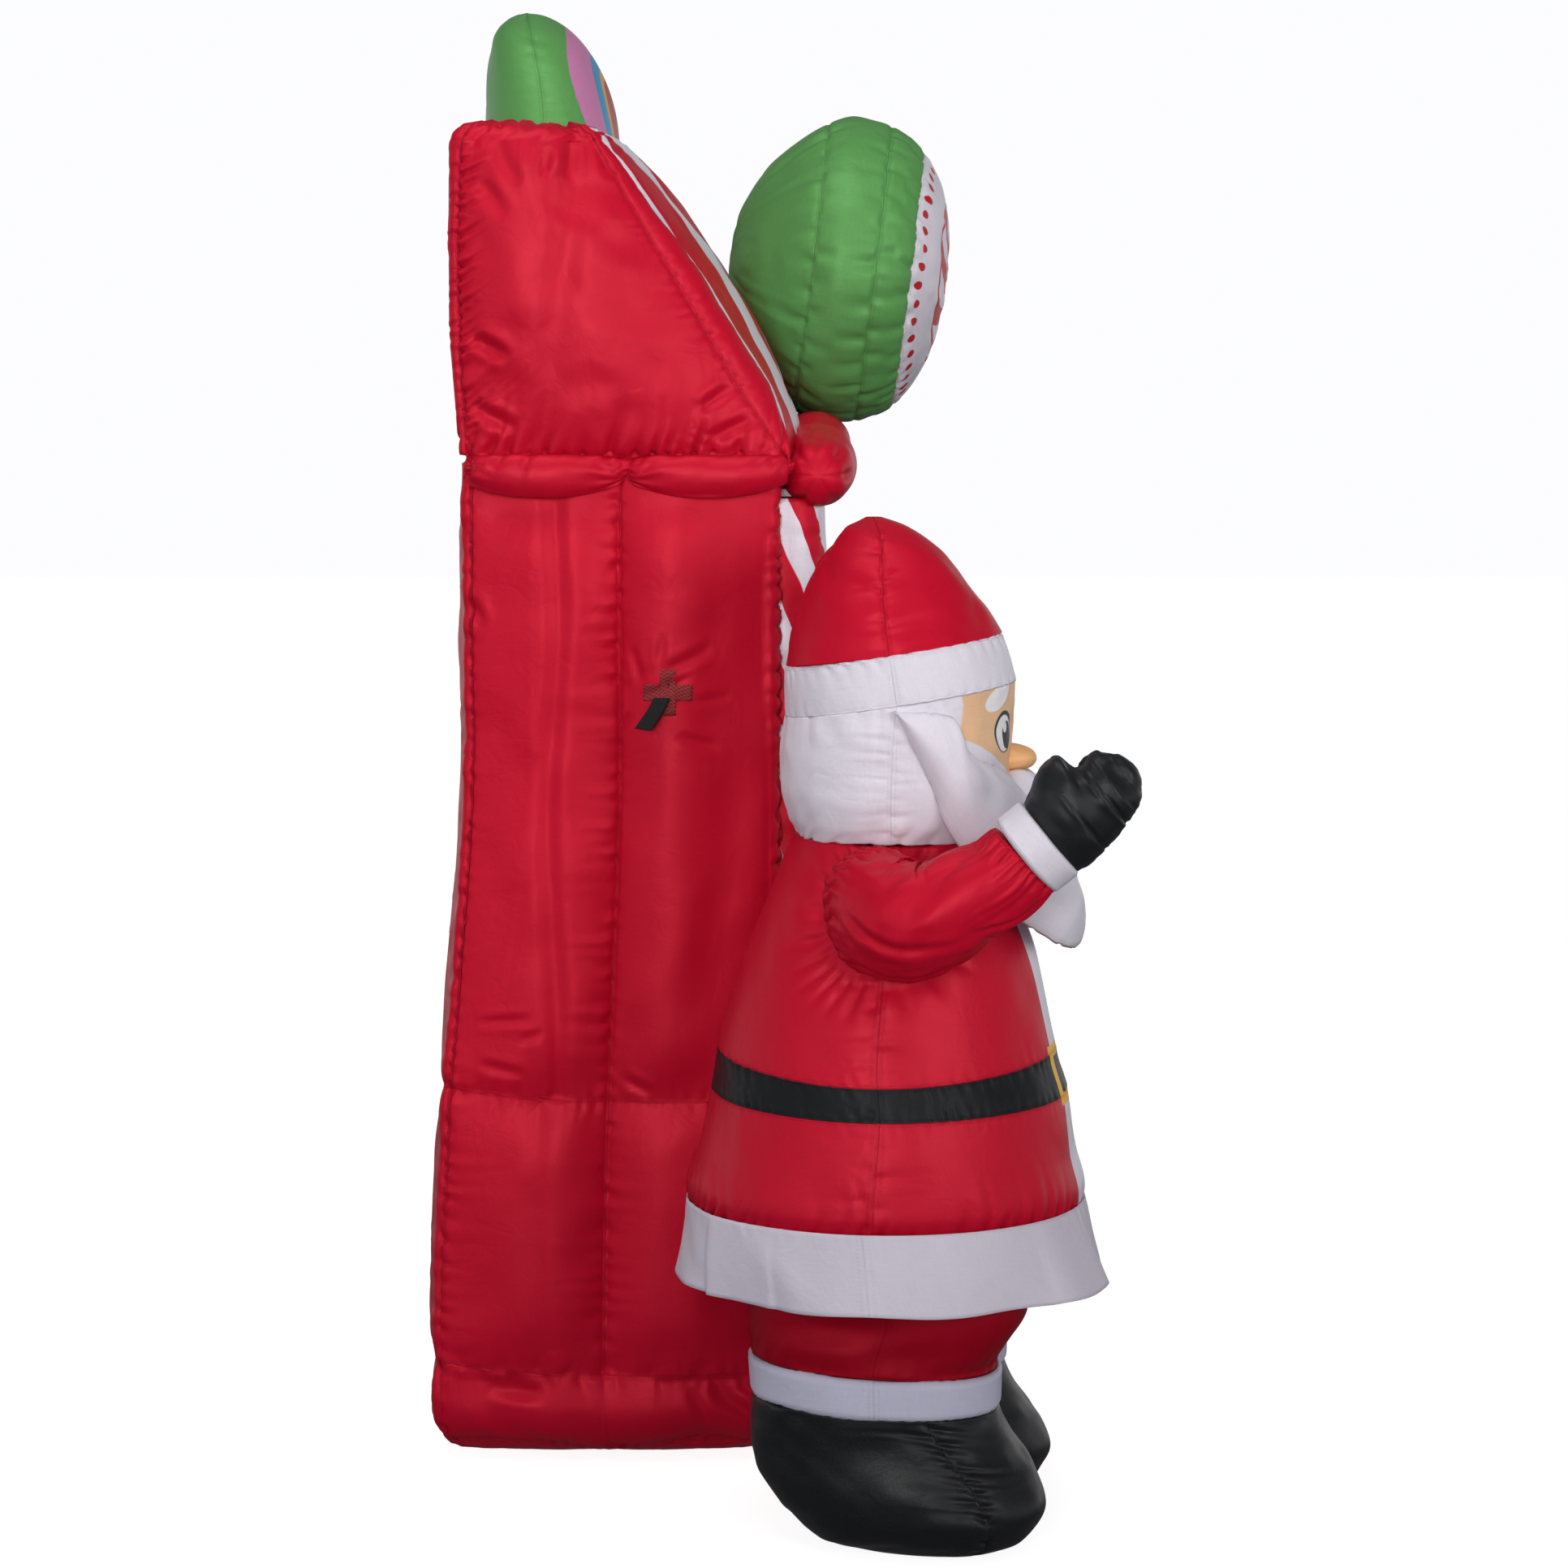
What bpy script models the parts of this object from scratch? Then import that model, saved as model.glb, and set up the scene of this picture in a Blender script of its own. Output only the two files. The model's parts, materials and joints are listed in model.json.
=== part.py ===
"""Blow-up garden decoration: a Christmas figure beside a tall red shop front, all air-filled cloth.

Metres, +Z up. The shop faces -Y, its base is centred on the origin, and the figure stands
by its front corner on the -X side. Right and left are the figure's own.
"""

import math

import bmesh
import bpy
import numpy as np
from mathutils import Vector

GAP = 0.0005

# Shop walls
WALL_WIDTH = 1.46
WALL_DEPTH = 0.55
WALL_HEIGHT = 1.60
BASE_ROUND = 0.080
BASE_SIDE_ROUND = 0.100
BASE_BAND_HEIGHT = 0.145
WAIST_SEAM_HEIGHT = 0.62
WALL_LOBE_BULGE = 0.030
WALL_BACK_SET_IN = 0.028
LOWER_SWELL = 0.058
SWELL_SHARE = 0.72
SIDE_SHARE_OF_SWELL = 0.5
FRONT_SHARE_OF_BULGE = 0.3
BACK_SHARE_OF_BULGE = 0.6
SEAM_NIP = 0.012
SEAM_NIP_RUN = 0.03
SEAM_RUN = 0.048
SEAM_FLATTENING = 0.5
SEAM_FLATTENING_RUN = 0.06
LOBE_POWER = 0.8
CORNER_ROUND = 0.035
WALL_LOBES = (3, 2, 4)  # on the front, on each side, on the back
WALL_STEPS = (9, 8, 8)
BASE_RING_SHARES = (0.12, 0.40, 0.95)
BAND_RING_SHARES = (0.40, 0.70)
TOP_RING_SHARES = (0.19, 0.39, 0.64, 0.94, 1.0)

# Roof
ROOF_HEIGHT = 0.594
EAVE_SEAM_RISE = 0.055
EAVE_TUCK = 0.008
ROOF_TOP_FRONT = 0.045
ROOF_TOP_ROUND = 0.035
GABLE_BULGE = 0.045
SLOPE_BULGE = 0.092
ROOF_BACK_SWELL = 0.020
ROOF_FRONT_OVERHANG = 0.005
ROOF_SIDE_OVERHANG = 0.004
ROOF_SLOPE_POWER = 0.93
PILLOW_POWER = 0.42
EAVE_BULGE_SHARE = 0.5
ROOF_BACK_BULGE_SHARE = 0.5
ROOF_STEPS = (8, 8, 4)

# Half-round candy on the ridge
CANDY_WIDTH = 0.54
CANDY_HEIGHT = 0.236
CANDY_THICKNESS = 0.236
CANDY_LEAN = 0.042
CANDY_SET_BACK = 0.010
CANDY_SQUARENESS = 2.3
CANDY_FALL_POWER = 0.85
CANDY_RINGS = 8
CANDY_FACETS = 22

# Round sign on the roof's slope
SIGN_RADIUS = 0.268
SIGN_THICKNESS = 0.392
SIGN_CENTRE_HEIGHT = 1.979
SIGN_FRONT = 0.568
SIGN_LEAN_DEG = 7.0
SIGN_FACETS = 30

# Roll under the eave
ROLL_RADIUS = 0.064
ROLL_LOBES = 4
ROLL_NIP = 0.013
ROLL_FACETS = 10
ROLL_ARCH = 0.040
ROLL_CENTRE_HEIGHT = 1.626
ROLL_END_INSET = 0.010
ROLL_END_LIP = 0.012
ROLL_END_SHARE = 0.45
ROLL_SUNK_SHARE = 0.86
ROLL_STEPS_PER_LOBE = 4

# Candy-cane columns
COLUMN_RADIUS = 0.068
COLUMN_INSET = 0.100
COLUMN_FOOT = 0.015
COLUMN_TOP_CLEARANCE = 0.012
COLUMN_FOOT_SHARE = 0.86
COLUMN_FACETS = 14

# Tether straps on the side walls
TETHER_HEIGHT = 1.276
TETHER_FORWARD = 0.087
PATCH_LENGTH = 0.080
PATCH_HEIGHT = 0.075
PATCH_BAND = 0.026
PATCH_THICKNESS = 0.0022
PATCH_BLANK = 0.034
STRAP_CLEARANCE = 0.0022
STRAP_STANDS_OFF = 0.016
STRAP_DROP = 0.012
STRAP_SET_BACK = 0.014
STRAP_SWING = 0.034
STRAP_WIDTH = 0.027
STRAP_LENGTH = 0.055
STRAP_THICKNESS = 0.0030
STRAP_SLANT = 0.004

# The figure: its free forms are shares of its own height
FIGURE_HEIGHT = 1.572
FIGURE_X = -1.050
FIGURE_Y = -0.437
FIGURE_TURN_DEG = -5.0

RED = (0.62, 0.012, 0.028)
DARK_RED = (0.42, 0.006, 0.020)
WHITE = (0.78, 0.76, 0.82)
BLACK = (0.020, 0.021, 0.024)
GREEN = (0.075, 0.33, 0.07)
SKIN = (0.76, 0.45, 0.25)


def clear_scene():
    for old in list(bpy.data.objects):
        bpy.data.objects.remove(old, do_unlink=True)


def new_collection(name):
    made = bpy.data.collections.new(name)
    bpy.context.scene.collection.children.link(made)
    return made


def cloth(name, colour, roughness=0.45):
    """Woven nylon cloth of one colour."""
    made = bpy.data.materials.new(name)
    made.use_nodes = True
    shader = made.node_tree.nodes["Principled BSDF"]
    shader.inputs["Base Color"].default_value = (*colour, 1.0)
    shader.inputs["Roughness"].default_value = roughness
    shader.inputs["Metallic"].default_value = 0.0
    return made


def add_object(name, mesh, material, parent=None):
    made = bpy.data.objects.new(name, mesh)
    parts.objects.link(made)
    made.data.materials.append(material)
    made.parent = parent
    return made


def smooth_at(table, at):
    """Reads a table of rows (place, value, value ...) on a smooth curve that never overshoots."""
    rows = np.asarray(table, float)
    knots = rows[:, 0]
    read = []
    for column in rows[:, 1:].T:
        slope = np.diff(column) / np.diff(knots)
        tangent = np.empty_like(column)
        tangent[0] = slope[0]
        tangent[-1] = slope[-1]
        turning = slope[:-1] * slope[1:] <= 0
        total = np.where(turning, 1.0, slope[:-1] + slope[1:])
        tangent[1:-1] = np.where(turning, 0.0, 2 * slope[:-1] * slope[1:] / total)
        span = np.clip(np.searchsorted(knots, at, side="right") - 1, 0, len(slope) - 1)
        width = knots[span + 1] - knots[span]
        t = np.clip((at - knots[span]) / width, 0, 1)
        start = (1 + 2 * t) * (1 - t) ** 2 * column[span] + t * (1 - t) ** 2 * width * tangent[span]
        end = t**2 * (3 - 2 * t) * column[span + 1] - t**2 * (1 - t) * width * tangent[span + 1]
        read.append(start + end)
    return read


def skin(name, rings, material, parent=None, sharp_deg=38):
    """A closed solid through rings of points. A ring of one point is a tip, any other end is flat."""
    shape = bmesh.new()
    rows = [[shape.verts.new(point) for point in ring] for ring in rings]
    for low, high in zip(rows, rows[1:]):
        count = max(len(low), len(high))
        for i in range(count):
            j = (i + 1) % count
            corners = [low[i % len(low)], low[j % len(low)], high[j % len(high)], high[i % len(high)]]
            shape.faces.new(list(dict.fromkeys(corners)))
    if len(rows[0]) > 1:
        shape.faces.new(rows[0][::-1])
    if len(rows[-1]) > 1:
        shape.faces.new(rows[-1])
    bmesh.ops.recalc_face_normals(shape, faces=shape.faces)
    bmesh.ops.triangulate(shape, faces=shape.faces)
    mesh = bpy.data.meshes.new(name)
    shape.to_mesh(mesh)
    shape.free()
    mesh.shade_smooth()
    mesh.set_sharp_from_angle(angle=math.radians(sharp_deg))
    return add_object(name, mesh, material, parent)


def oval(centre, half_x, half_y, count, power=2.0, front_rise=0.0):
    """Points round a level superellipse. front_rise lifts the front (-Y) edge by that slope."""
    points = []
    for i in range(count):
        turn = 2 * math.pi * (i + 0.5) / count
        c, s = math.cos(turn), math.sin(turn)
        x = half_x * math.copysign(abs(c) ** (2 / power), c)
        y = half_y * math.copysign(abs(s) ** (2 / power), s)
        points.append((centre[0] + x, centre[1] + y, centre[2] - front_rise * y))
    return points


def grown_copy(source, gap=GAP):
    """A cutter: source's world shape with each corner moved out by gap."""
    bpy.context.view_layer.update()
    graph = bpy.context.evaluated_depsgraph_get()
    mesh = bpy.data.meshes.new_from_object(source.evaluated_get(graph))
    mesh.transform(source.matrix_world)
    shape = bmesh.new()
    shape.from_mesh(mesh)
    bmesh.ops.remove_doubles(shape, verts=shape.verts, dist=0.0001)
    bmesh.ops.recalc_face_normals(shape, faces=shape.faces)
    shape.normal_update()
    outward = [vert.normal.copy() for vert in shape.verts]
    for vert, normal in zip(shape.verts, outward):
        vert.co += normal * gap
    shape.to_mesh(mesh)
    shape.free()
    made = bpy.data.objects.new(source.name + "_cutter", mesh)
    cutters.objects.link(made)
    made.hide_render = True
    made.display_type = "WIRE"
    return made


def combine(target, other, operation="DIFFERENCE"):
    step = target.modifiers.new(operation.title() + " " + other.name, "BOOLEAN")
    step.operation = operation
    step.object = other


def make_helper(piece):
    """Turns a finished piece into a hidden helper of another piece."""
    parts.objects.unlink(piece)
    cutters.objects.link(piece)
    piece.hide_render = True
    piece.display_type = "WIRE"


# Shop walls: level rings of a quilted, round-cornered rectangle


def lobe(place, lobes):
    """How far out a row of cushion lobes stands, 0 in the seams and 1 between them."""
    return math.sin(math.pi * ((place * lobes) % 1.0)) ** LOBE_POWER


def quilted_ring(half_x, front, back, bulge, lobes, steps, z, corner=CORNER_ROUND):
    """Points round a rectangle from x = -half_x to half_x and y = front to back.

    bulge, lobes and steps hold (front, side, back): how far each face swells, in how many lobes,
    and in how many straight steps.
    """
    middle_y = (front + back) / 2
    half_y = (back - front) / 2
    sides = [
        ((0, -1), (1, 0), half_x, half_y, 0),
        ((1, 0), (0, 1), half_y, half_x, 1),
        ((0, 1), (-1, 0), half_x, half_y, 2),
        ((-1, 0), (0, -1), half_y, half_x, 1),
    ]
    points = []
    for out, along, half_length, reach, face in sides:
        run = half_length - corner
        for i in range(steps[face] + 1):
            place = i / steps[face]
            offset = bulge[face] * lobe(place, lobes[face]) if 0 < i < steps[face] else 0.0
            distance = -run + 2 * run * place
            x = out[0] * (reach + offset) + along[0] * distance
            y = out[1] * (reach + offset) + along[1] * distance
            points.append((x, middle_y + y, z))
        turn = math.pi / 4
        side_reach = run + corner * math.sin(turn)
        face_reach = reach - corner + corner * math.cos(turn)
        x = along[0] * side_reach + out[0] * face_reach
        y = along[1] * side_reach + out[1] * face_reach
        points.append((x, middle_y + y, z))
    return points


def base_inset(z, radius):
    """How far the rounded bottom edge has drawn in at height z."""
    if z >= radius:
        return 0.0
    return radius - math.sqrt(radius**2 - (radius - z) ** 2)


def wall_swell(z):
    """How far the back stands out at height z: most below the waist seam, nipped at each seam."""
    rise = np.clip((z - BASE_BAND_HEIGHT) / (SWELL_SHARE * WALL_HEIGHT - BASE_BAND_HEIGHT), 0, 1)
    swell = LOWER_SWELL * (1 - rise**2) ** 1.5
    for seam in (BASE_BAND_HEIGHT, WAIST_SEAM_HEIGHT):
        swell -= SEAM_NIP * math.exp(-(((z - seam) / SEAM_NIP_RUN) ** 2))
    return swell


def wall_bulge(z):
    """Lobe depth at height z: full between the seams, half at them and at the top."""
    depth = WALL_LOBE_BULGE
    for seam in (0.0, BASE_BAND_HEIGHT, WAIST_SEAM_HEIGHT, WALL_HEIGHT):
        depth *= 1 - SEAM_FLATTENING * math.exp(-(((z - seam) / SEAM_FLATTENING_RUN) ** 2))
    return depth


def wall_half_width(z):
    return WALL_WIDTH / 2 + SIDE_SHARE_OF_SWELL * wall_swell(z) - base_inset(z, BASE_SIDE_ROUND)


def wall_front(z):
    return -WALL_DEPTH / 2 + base_inset(z, BASE_ROUND)


def wall_back(z):
    return WALL_DEPTH / 2 - WALL_BACK_SET_IN + wall_swell(z) - base_inset(z, BASE_ROUND)


def wall_ring(z):
    depth = wall_bulge(z)
    swell = (FRONT_SHARE_OF_BULGE * depth, depth, BACK_SHARE_OF_BULGE * depth)
    return quilted_ring(wall_half_width(z), wall_front(z), wall_back(z), swell, WALL_LOBES, WALL_STEPS, z)


def build_walls():
    """Rings stand close together in the rounded base and beside the two seams."""
    low = [0.0] + [share * BASE_SIDE_ROUND for share in BASE_RING_SHARES]
    band_to_waist = WAIST_SEAM_HEIGHT - BASE_BAND_HEIGHT
    middle = [BASE_BAND_HEIGHT, BASE_BAND_HEIGHT + SEAM_RUN]
    middle += [BASE_BAND_HEIGHT + share * band_to_waist for share in BAND_RING_SHARES]
    middle += [WAIST_SEAM_HEIGHT - SEAM_RUN, WAIST_SEAM_HEIGHT, WAIST_SEAM_HEIGHT + SEAM_RUN]
    waist_to_top = WALL_HEIGHT - WAIST_SEAM_HEIGHT
    high = [WAIST_SEAM_HEIGHT + share * waist_to_top for share in TOP_RING_SHARES]
    return skin("house_walls", [wall_ring(z) for z in low + middle + high], red_cloth)


# Roof: a steep front slope, upright gables and back


def roof_front(rise):
    """Front edge at the gable, at a height above the walls."""
    share = max(rise - EAVE_SEAM_RISE, 0.0) / (ROOF_HEIGHT - EAVE_SEAM_RISE)
    start = -WALL_DEPTH / 2 - ROOF_FRONT_OVERHANG
    return start + (ROOF_TOP_FRONT - start) * share**ROOF_SLOPE_POWER


# Ring heights above the walls, closest in the rounded top edge
ROOF_RING_RISES = [
    GAP, 0.028, EAVE_SEAM_RISE, 0.085, 0.14, 0.23, 0.33, 0.43, 0.51,
    ROOF_HEIGHT - 0.045, ROOF_HEIGHT - 0.016, ROOF_HEIGHT,
]  # fmt: skip


def build_roof():
    top = ROOF_HEIGHT
    rings = []
    for rise in ROOF_RING_RISES:
        share = np.clip((rise - EAVE_SEAM_RISE) / (top - EAVE_SEAM_RISE), 0, 1)
        pillow = max(math.sin(math.pi * share), 0.0) ** PILLOW_POWER
        tuck = EAVE_TUCK * math.sin(math.pi * min(rise / EAVE_SEAM_RISE, 1.0))
        falling = top - rise
        rounding = base_inset(falling, ROOF_TOP_ROUND)
        half_x = WALL_WIDTH / 2 + ROOF_SIDE_OVERHANG + tuck - rounding
        front = roof_front(rise) - tuck + rounding
        back = WALL_DEPTH / 2 - WALL_BACK_SET_IN + ROOF_BACK_SWELL * pillow - rounding
        under = EAVE_BULGE_SHARE * WALL_LOBE_BULGE if rise < EAVE_SEAM_RISE else 0.0
        back_bulge = ROOF_BACK_BULGE_SHARE * ROOF_BACK_SWELL * pillow
        bulge = (SLOPE_BULGE * pillow, max(GABLE_BULGE * pillow, under), back_bulge)
        side_lobes = 2 if rise < EAVE_SEAM_RISE else 1
        height = WALL_HEIGHT + rise
        rings.append(quilted_ring(half_x, front, back, bulge, (2, side_lobes, 1), ROOF_STEPS, height))
    return skin("house_roof", rings, red_cloth)


def build_candy():
    """Half disc, flat below, on the middle of the ridge."""
    base = WALL_HEIGHT + ROOF_HEIGHT + GAP
    middle_y = WALL_DEPTH / 2 - WALL_BACK_SET_IN - CANDY_THICKNESS / 2 + CANDY_SET_BACK
    rings = []
    for step in range(CANDY_RINGS):
        angle = step / CANDY_RINGS * math.pi / 2
        half_x = CANDY_WIDTH / 2 * math.cos(angle) ** CANDY_FALL_POWER
        half_y = CANDY_THICKNESS / 2 * math.cos(angle) ** CANDY_FALL_POWER
        height = base + CANDY_HEIGHT * math.sin(angle)
        lean = CANDY_LEAN * math.sin(angle) ** 2
        centre = (0, middle_y + lean, height)
        rings.append(oval(centre, half_x, half_y, CANDY_FACETS, CANDY_SQUARENESS))
    rings.append([(0, middle_y + CANDY_LEAN, base + CANDY_HEIGHT)])
    skin("roof_candy", rings, green_cloth)


# Distance along the sign's axis and radius there, as shares of its thickness and radius
SIGN_PROFILE = [
    (0.00, 0.00), (0.04, 0.28), (0.12, 0.53), (0.24, 0.77), (0.37, 0.93), (0.50, 1.00),
    (0.63, 0.985), (0.75, 0.91), (0.86, 0.78), (0.94, 0.58), (0.985, 0.32), (1.00, 0.00),
]  # fmt: skip


def build_sign(roof):
    """A turned drum. Its axis starts along -Z, then tips to face -Y and a little down."""
    mesh = bpy.data.meshes.new("sign_drum")
    profile = [(radius * SIGN_RADIUS, 0.0, (0.5 - place) * SIGN_THICKNESS) for place, radius in SIGN_PROFILE]
    mesh.from_pydata(profile, [(i, i + 1) for i in range(len(profile) - 1)], [])
    sign = add_object("sign_drum", mesh, green_cloth)
    turn = sign.modifiers.new("Turn", "SCREW")
    turn.steps = SIGN_FACETS
    turn.render_steps = SIGN_FACETS
    turn.use_merge_vertices = True
    turn.merge_threshold = 0.0001
    turn.use_smooth_shade = True
    lean = math.radians(SIGN_LEAN_DEG)
    sign.rotation_euler = (-math.pi / 2 + lean, 0, 0)
    sign.location = (0, -SIGN_FRONT + SIGN_THICKNESS / 2, SIGN_CENTRE_HEIGHT)
    combine(sign, grown_copy(roof))
    return sign


def build_roll(roof, walls, sign):
    """A stuffed roll across the front under the eave, nipped between its lobes."""
    half_run = WALL_WIDTH / 2 - ROLL_END_INSET
    middle_y = -WALL_DEPTH / 2 - ROLL_RADIUS * ROLL_SUNK_SHARE
    steps = ROLL_STEPS_PER_LOBE * ROLL_LOBES
    rings = [[(-half_run - ROLL_END_LIP, middle_y, ROLL_CENTRE_HEIGHT)]]
    for i in range(steps + 1):
        place = i / steps
        nip = abs(math.cos(math.pi * place * ROLL_LOBES)) ** 3
        end = ROLL_END_SHARE if i in (0, steps) else 1.0
        radius = (ROLL_RADIUS - ROLL_NIP * nip) * end
        x = -half_run + 2 * half_run * place
        z = ROLL_CENTRE_HEIGHT + ROLL_ARCH * math.sin(math.pi * place)
        ring = []
        for k in range(ROLL_FACETS):
            turn = 2 * math.pi * (k + 0.5) / ROLL_FACETS
            ring.append((x, middle_y + radius * math.cos(turn), z + radius * math.sin(turn)))
        rings.append(ring)
    rings.append([(half_run + ROLL_END_LIP, middle_y, ROLL_CENTRE_HEIGHT)])
    roll = skin("awning_roll", rings, red_cloth)
    for other in (roof, walls, sign):
        combine(roll, grown_copy(other))
    return roll


def build_column(side, walls, roll, roof):
    """Upright roll on the front face. side is -1 for the figure's right and 1 for its left."""
    x = side * (WALL_WIDTH / 2 - COLUMN_INSET)
    rings = []
    top = WALL_HEIGHT - COLUMN_TOP_CLEARANCE
    for z in (0.0, COLUMN_FOOT, top / 3, 2 * top / 3, top):
        radius = COLUMN_RADIUS * (COLUMN_FOOT_SHARE if z == 0 else 1.0)
        rings.append(oval((x, -WALL_DEPTH / 2, z), radius, radius, COLUMN_FACETS))
    column = skin("column_right" if side < 0 else "column_left", rings, candy_cloth)
    for other in (walls, roll, roof):
        combine(column, grown_copy(other))


def side_of_wall(y, z):
    """How far from the middle the side wall stands at that place."""
    middle = (wall_front(z) + wall_back(z)) / 2
    half_run = (wall_back(z) - wall_front(z)) / 2 - CORNER_ROUND
    place = float(np.clip((y - middle + half_run) / (2 * half_run), 0.0, 1.0))
    return wall_half_width(z) + wall_bulge(z) * lobe(place, 2)


def tape_blank(name, centre, length, height):
    """A block that stands through the wall, to be cut to one tape of the cross."""
    shape = bmesh.new()
    corners = bmesh.ops.create_cube(shape, size=1.0)["verts"]
    bmesh.ops.scale(shape, verts=corners, vec=(PATCH_BLANK, length, height))
    mesh = bpy.data.meshes.new(name)
    shape.to_mesh(mesh)
    shape.free()
    blank = add_object(name, mesh, dark_red_cloth)
    blank.location = centre
    return blank


def build_tether(side, walls):
    """A sewn cross of tape on the side wall, and the loose end of strap that hangs from it."""
    name = "right" if side < 0 else "left"
    y = -TETHER_FORWARD
    wall = side_of_wall(y, TETHER_HEIGHT)
    centre = (side * wall, y, TETHER_HEIGHT)
    patch = tape_blank("tether_patch_" + name, centre, PATCH_LENGTH, PATCH_BAND)
    arm = tape_blank("tether_arm_" + name, centre, PATCH_BAND, PATCH_HEIGHT)
    make_helper(arm)
    combine(patch, arm, "UNION")
    combine(patch, grown_copy(walls, PATCH_THICKNESS + GAP), "INTERSECT")
    combine(patch, grown_copy(walls, GAP))
    rings = []
    for place in (0.0, 1.0):
        out = PATCH_THICKNESS + STRAP_CLEARANCE + STRAP_THICKNESS / 2 + STRAP_STANDS_OFF * place
        back = y + STRAP_SET_BACK + STRAP_SWING * place
        centre = Vector((side * (wall + out), back, TETHER_HEIGHT - STRAP_DROP - STRAP_LENGTH * place))
        ring = []
        for across, thick in ((-1, -1), (1, -1), (1, 1), (-1, 1)):
            corner = Vector((thick * STRAP_THICKNESS / 2, across * STRAP_WIDTH / 2, -STRAP_SLANT * across))
            ring.append(centre + corner)
        rings.append(ring)
    strap = skin("tether_strap_" + name, rings, black_cloth)
    combine(strap, grown_copy(patch))


# The figure, in its own frame: facing -Y, standing on the origin. All lengths are shares of its height


def figure(share):
    return share * FIGURE_HEIGHT


COAT_TOP = 0.6868
COAT_HEM = 0.3170
# height, half width across, back and front reach
COAT_OUTLINE = [
    (0.3170, 0.1800, 0.1900, -0.1830), (0.3400, 0.1930, 0.1980, -0.1920), (0.3770, 0.1900, 0.1870, -0.1850),
    (0.4310, 0.1800, 0.1740, -0.1780), (0.4710, 0.1725, 0.1680, -0.1665), (0.5640, 0.1480, 0.1400, -0.1460),
    (0.6370, 0.1250, 0.1130, -0.1210), (0.6868, 0.1080, 0.0930, -0.1080),
]  # fmt: skip
HEAD_OUTLINE = [
    (0.6868, 0.1050, 0.0900, -0.1030), (0.7050, 0.1160, 0.0990, -0.1120), (0.7370, 0.1225, 0.1060, -0.1190),
    (0.7740, 0.1225, 0.1060, -0.1210), (0.8210, 0.1195, 0.1010, -0.1240),
]  # fmt: skip
BAND_LOW = 0.8210
BAND_HIGH = 0.8690
BAND_FRONT_RISE = 0.155
CROWN_OUTLINE = [
    (0.8690, 0.1160, 0.1010, -0.1090), (0.8960, 0.1070, 0.0960, -0.0970), (0.9250, 0.0940, 0.0850, -0.0810),
    (0.9520, 0.0770, 0.0705, -0.0640), (0.9740, 0.0560, 0.0530, -0.0420), (0.9900, 0.0330, 0.0380, -0.0180),
]  # fmt: skip
CROWN_TIP = (0.0, 0.0170, 1.0)
HEAD_FACETS = 24
HEAD_SQUARENESS = 2.1
HEAD_RISE_POWER = 1.5
CROWN_RISE_POWER = 1.3
BAND_SWELL = 1.01


def figure_ring(outline, height, count, power=2.0, front_rise=0.0, grow=0.0):
    """A level ring of the figure read from an outline, in metres."""
    half, back, front = smooth_at(outline, height)
    centre = (0.0, figure((back + front) / 2), figure(height))
    return oval(centre, figure(half) + grow, figure((back - front) / 2) + grow, count, power, front_rise)


def build_coat(parent):
    heights = np.linspace(COAT_HEM, COAT_TOP, 10)
    rings = [figure_ring(COAT_OUTLINE, h, HEAD_FACETS) for h in heights]
    rings[-1] = [(x, y, z - GAP) for x, y, z in rings[-1]]
    return skin("santa_coat", rings, red_cloth, parent)


def build_head(parent):
    heights = np.linspace(HEAD_OUTLINE[0][0], BAND_LOW, 7)
    rings = []
    for h in heights:
        rise = BAND_FRONT_RISE * ((h - heights[0]) / (BAND_LOW - heights[0])) ** HEAD_RISE_POWER
        ring = figure_ring(HEAD_OUTLINE, h, HEAD_FACETS, HEAD_SQUARENESS, rise)
        clear = GAP if h == BAND_LOW else 0.0
        rings.append([(x, y, z - clear) for x, y, z in ring])
    return skin("santa_head", rings, white_cloth, parent)


def build_hat(parent):
    low = figure_ring(HEAD_OUTLINE, BAND_LOW, HEAD_FACETS, HEAD_SQUARENESS, BAND_FRONT_RISE)
    high = figure_ring(CROWN_OUTLINE, BAND_HIGH, HEAD_FACETS, HEAD_SQUARENESS, BAND_FRONT_RISE)
    middle = []
    for (x0, y0, z0), (x1, y1, z1) in zip(low, high):
        middle.append((BAND_SWELL * (x0 + x1) / 2, BAND_SWELL * (y0 + y1) / 2, (z0 + z1) / 2))
    band = skin("hat_band", [low, middle, [(x, y, z - GAP) for x, y, z in high]], white_cloth, parent)
    rings = []
    for place in np.linspace(0, 1, 9):
        h = BAND_HIGH + (CROWN_OUTLINE[-1][0] - BAND_HIGH) * place
        rise = BAND_FRONT_RISE * (1 - place) ** CROWN_RISE_POWER
        rings.append(figure_ring(CROWN_OUTLINE, h, HEAD_FACETS, HEAD_SQUARENESS, rise))
    rings.append([tuple(figure(v) for v in CROWN_TIP)])
    return band, skin("hat_crown", rings, red_cloth, parent)


# Forward reach, height, half width and half depth of the nose
NOSE_OUTLINE = [
    (0.114, 0.748, 0.010, 0.020), (0.116, 0.755, 0.019, 0.026), (0.118, 0.765, 0.020, 0.024),
    (0.115, 0.775, 0.014, 0.016),
]  # fmt: skip
NOSE_FACETS = 10


def build_nose(parent, head):
    rings = []
    for reach, height, wide, deep in NOSE_OUTLINE:
        rings.append(oval((0, -figure(reach), figure(height)), figure(wide), figure(deep), NOSE_FACETS))
    nose = skin("nose", rings, skin_cloth, parent)
    whole = grown_copy(nose)
    combine(nose, grown_copy(head))
    return whole


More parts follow.
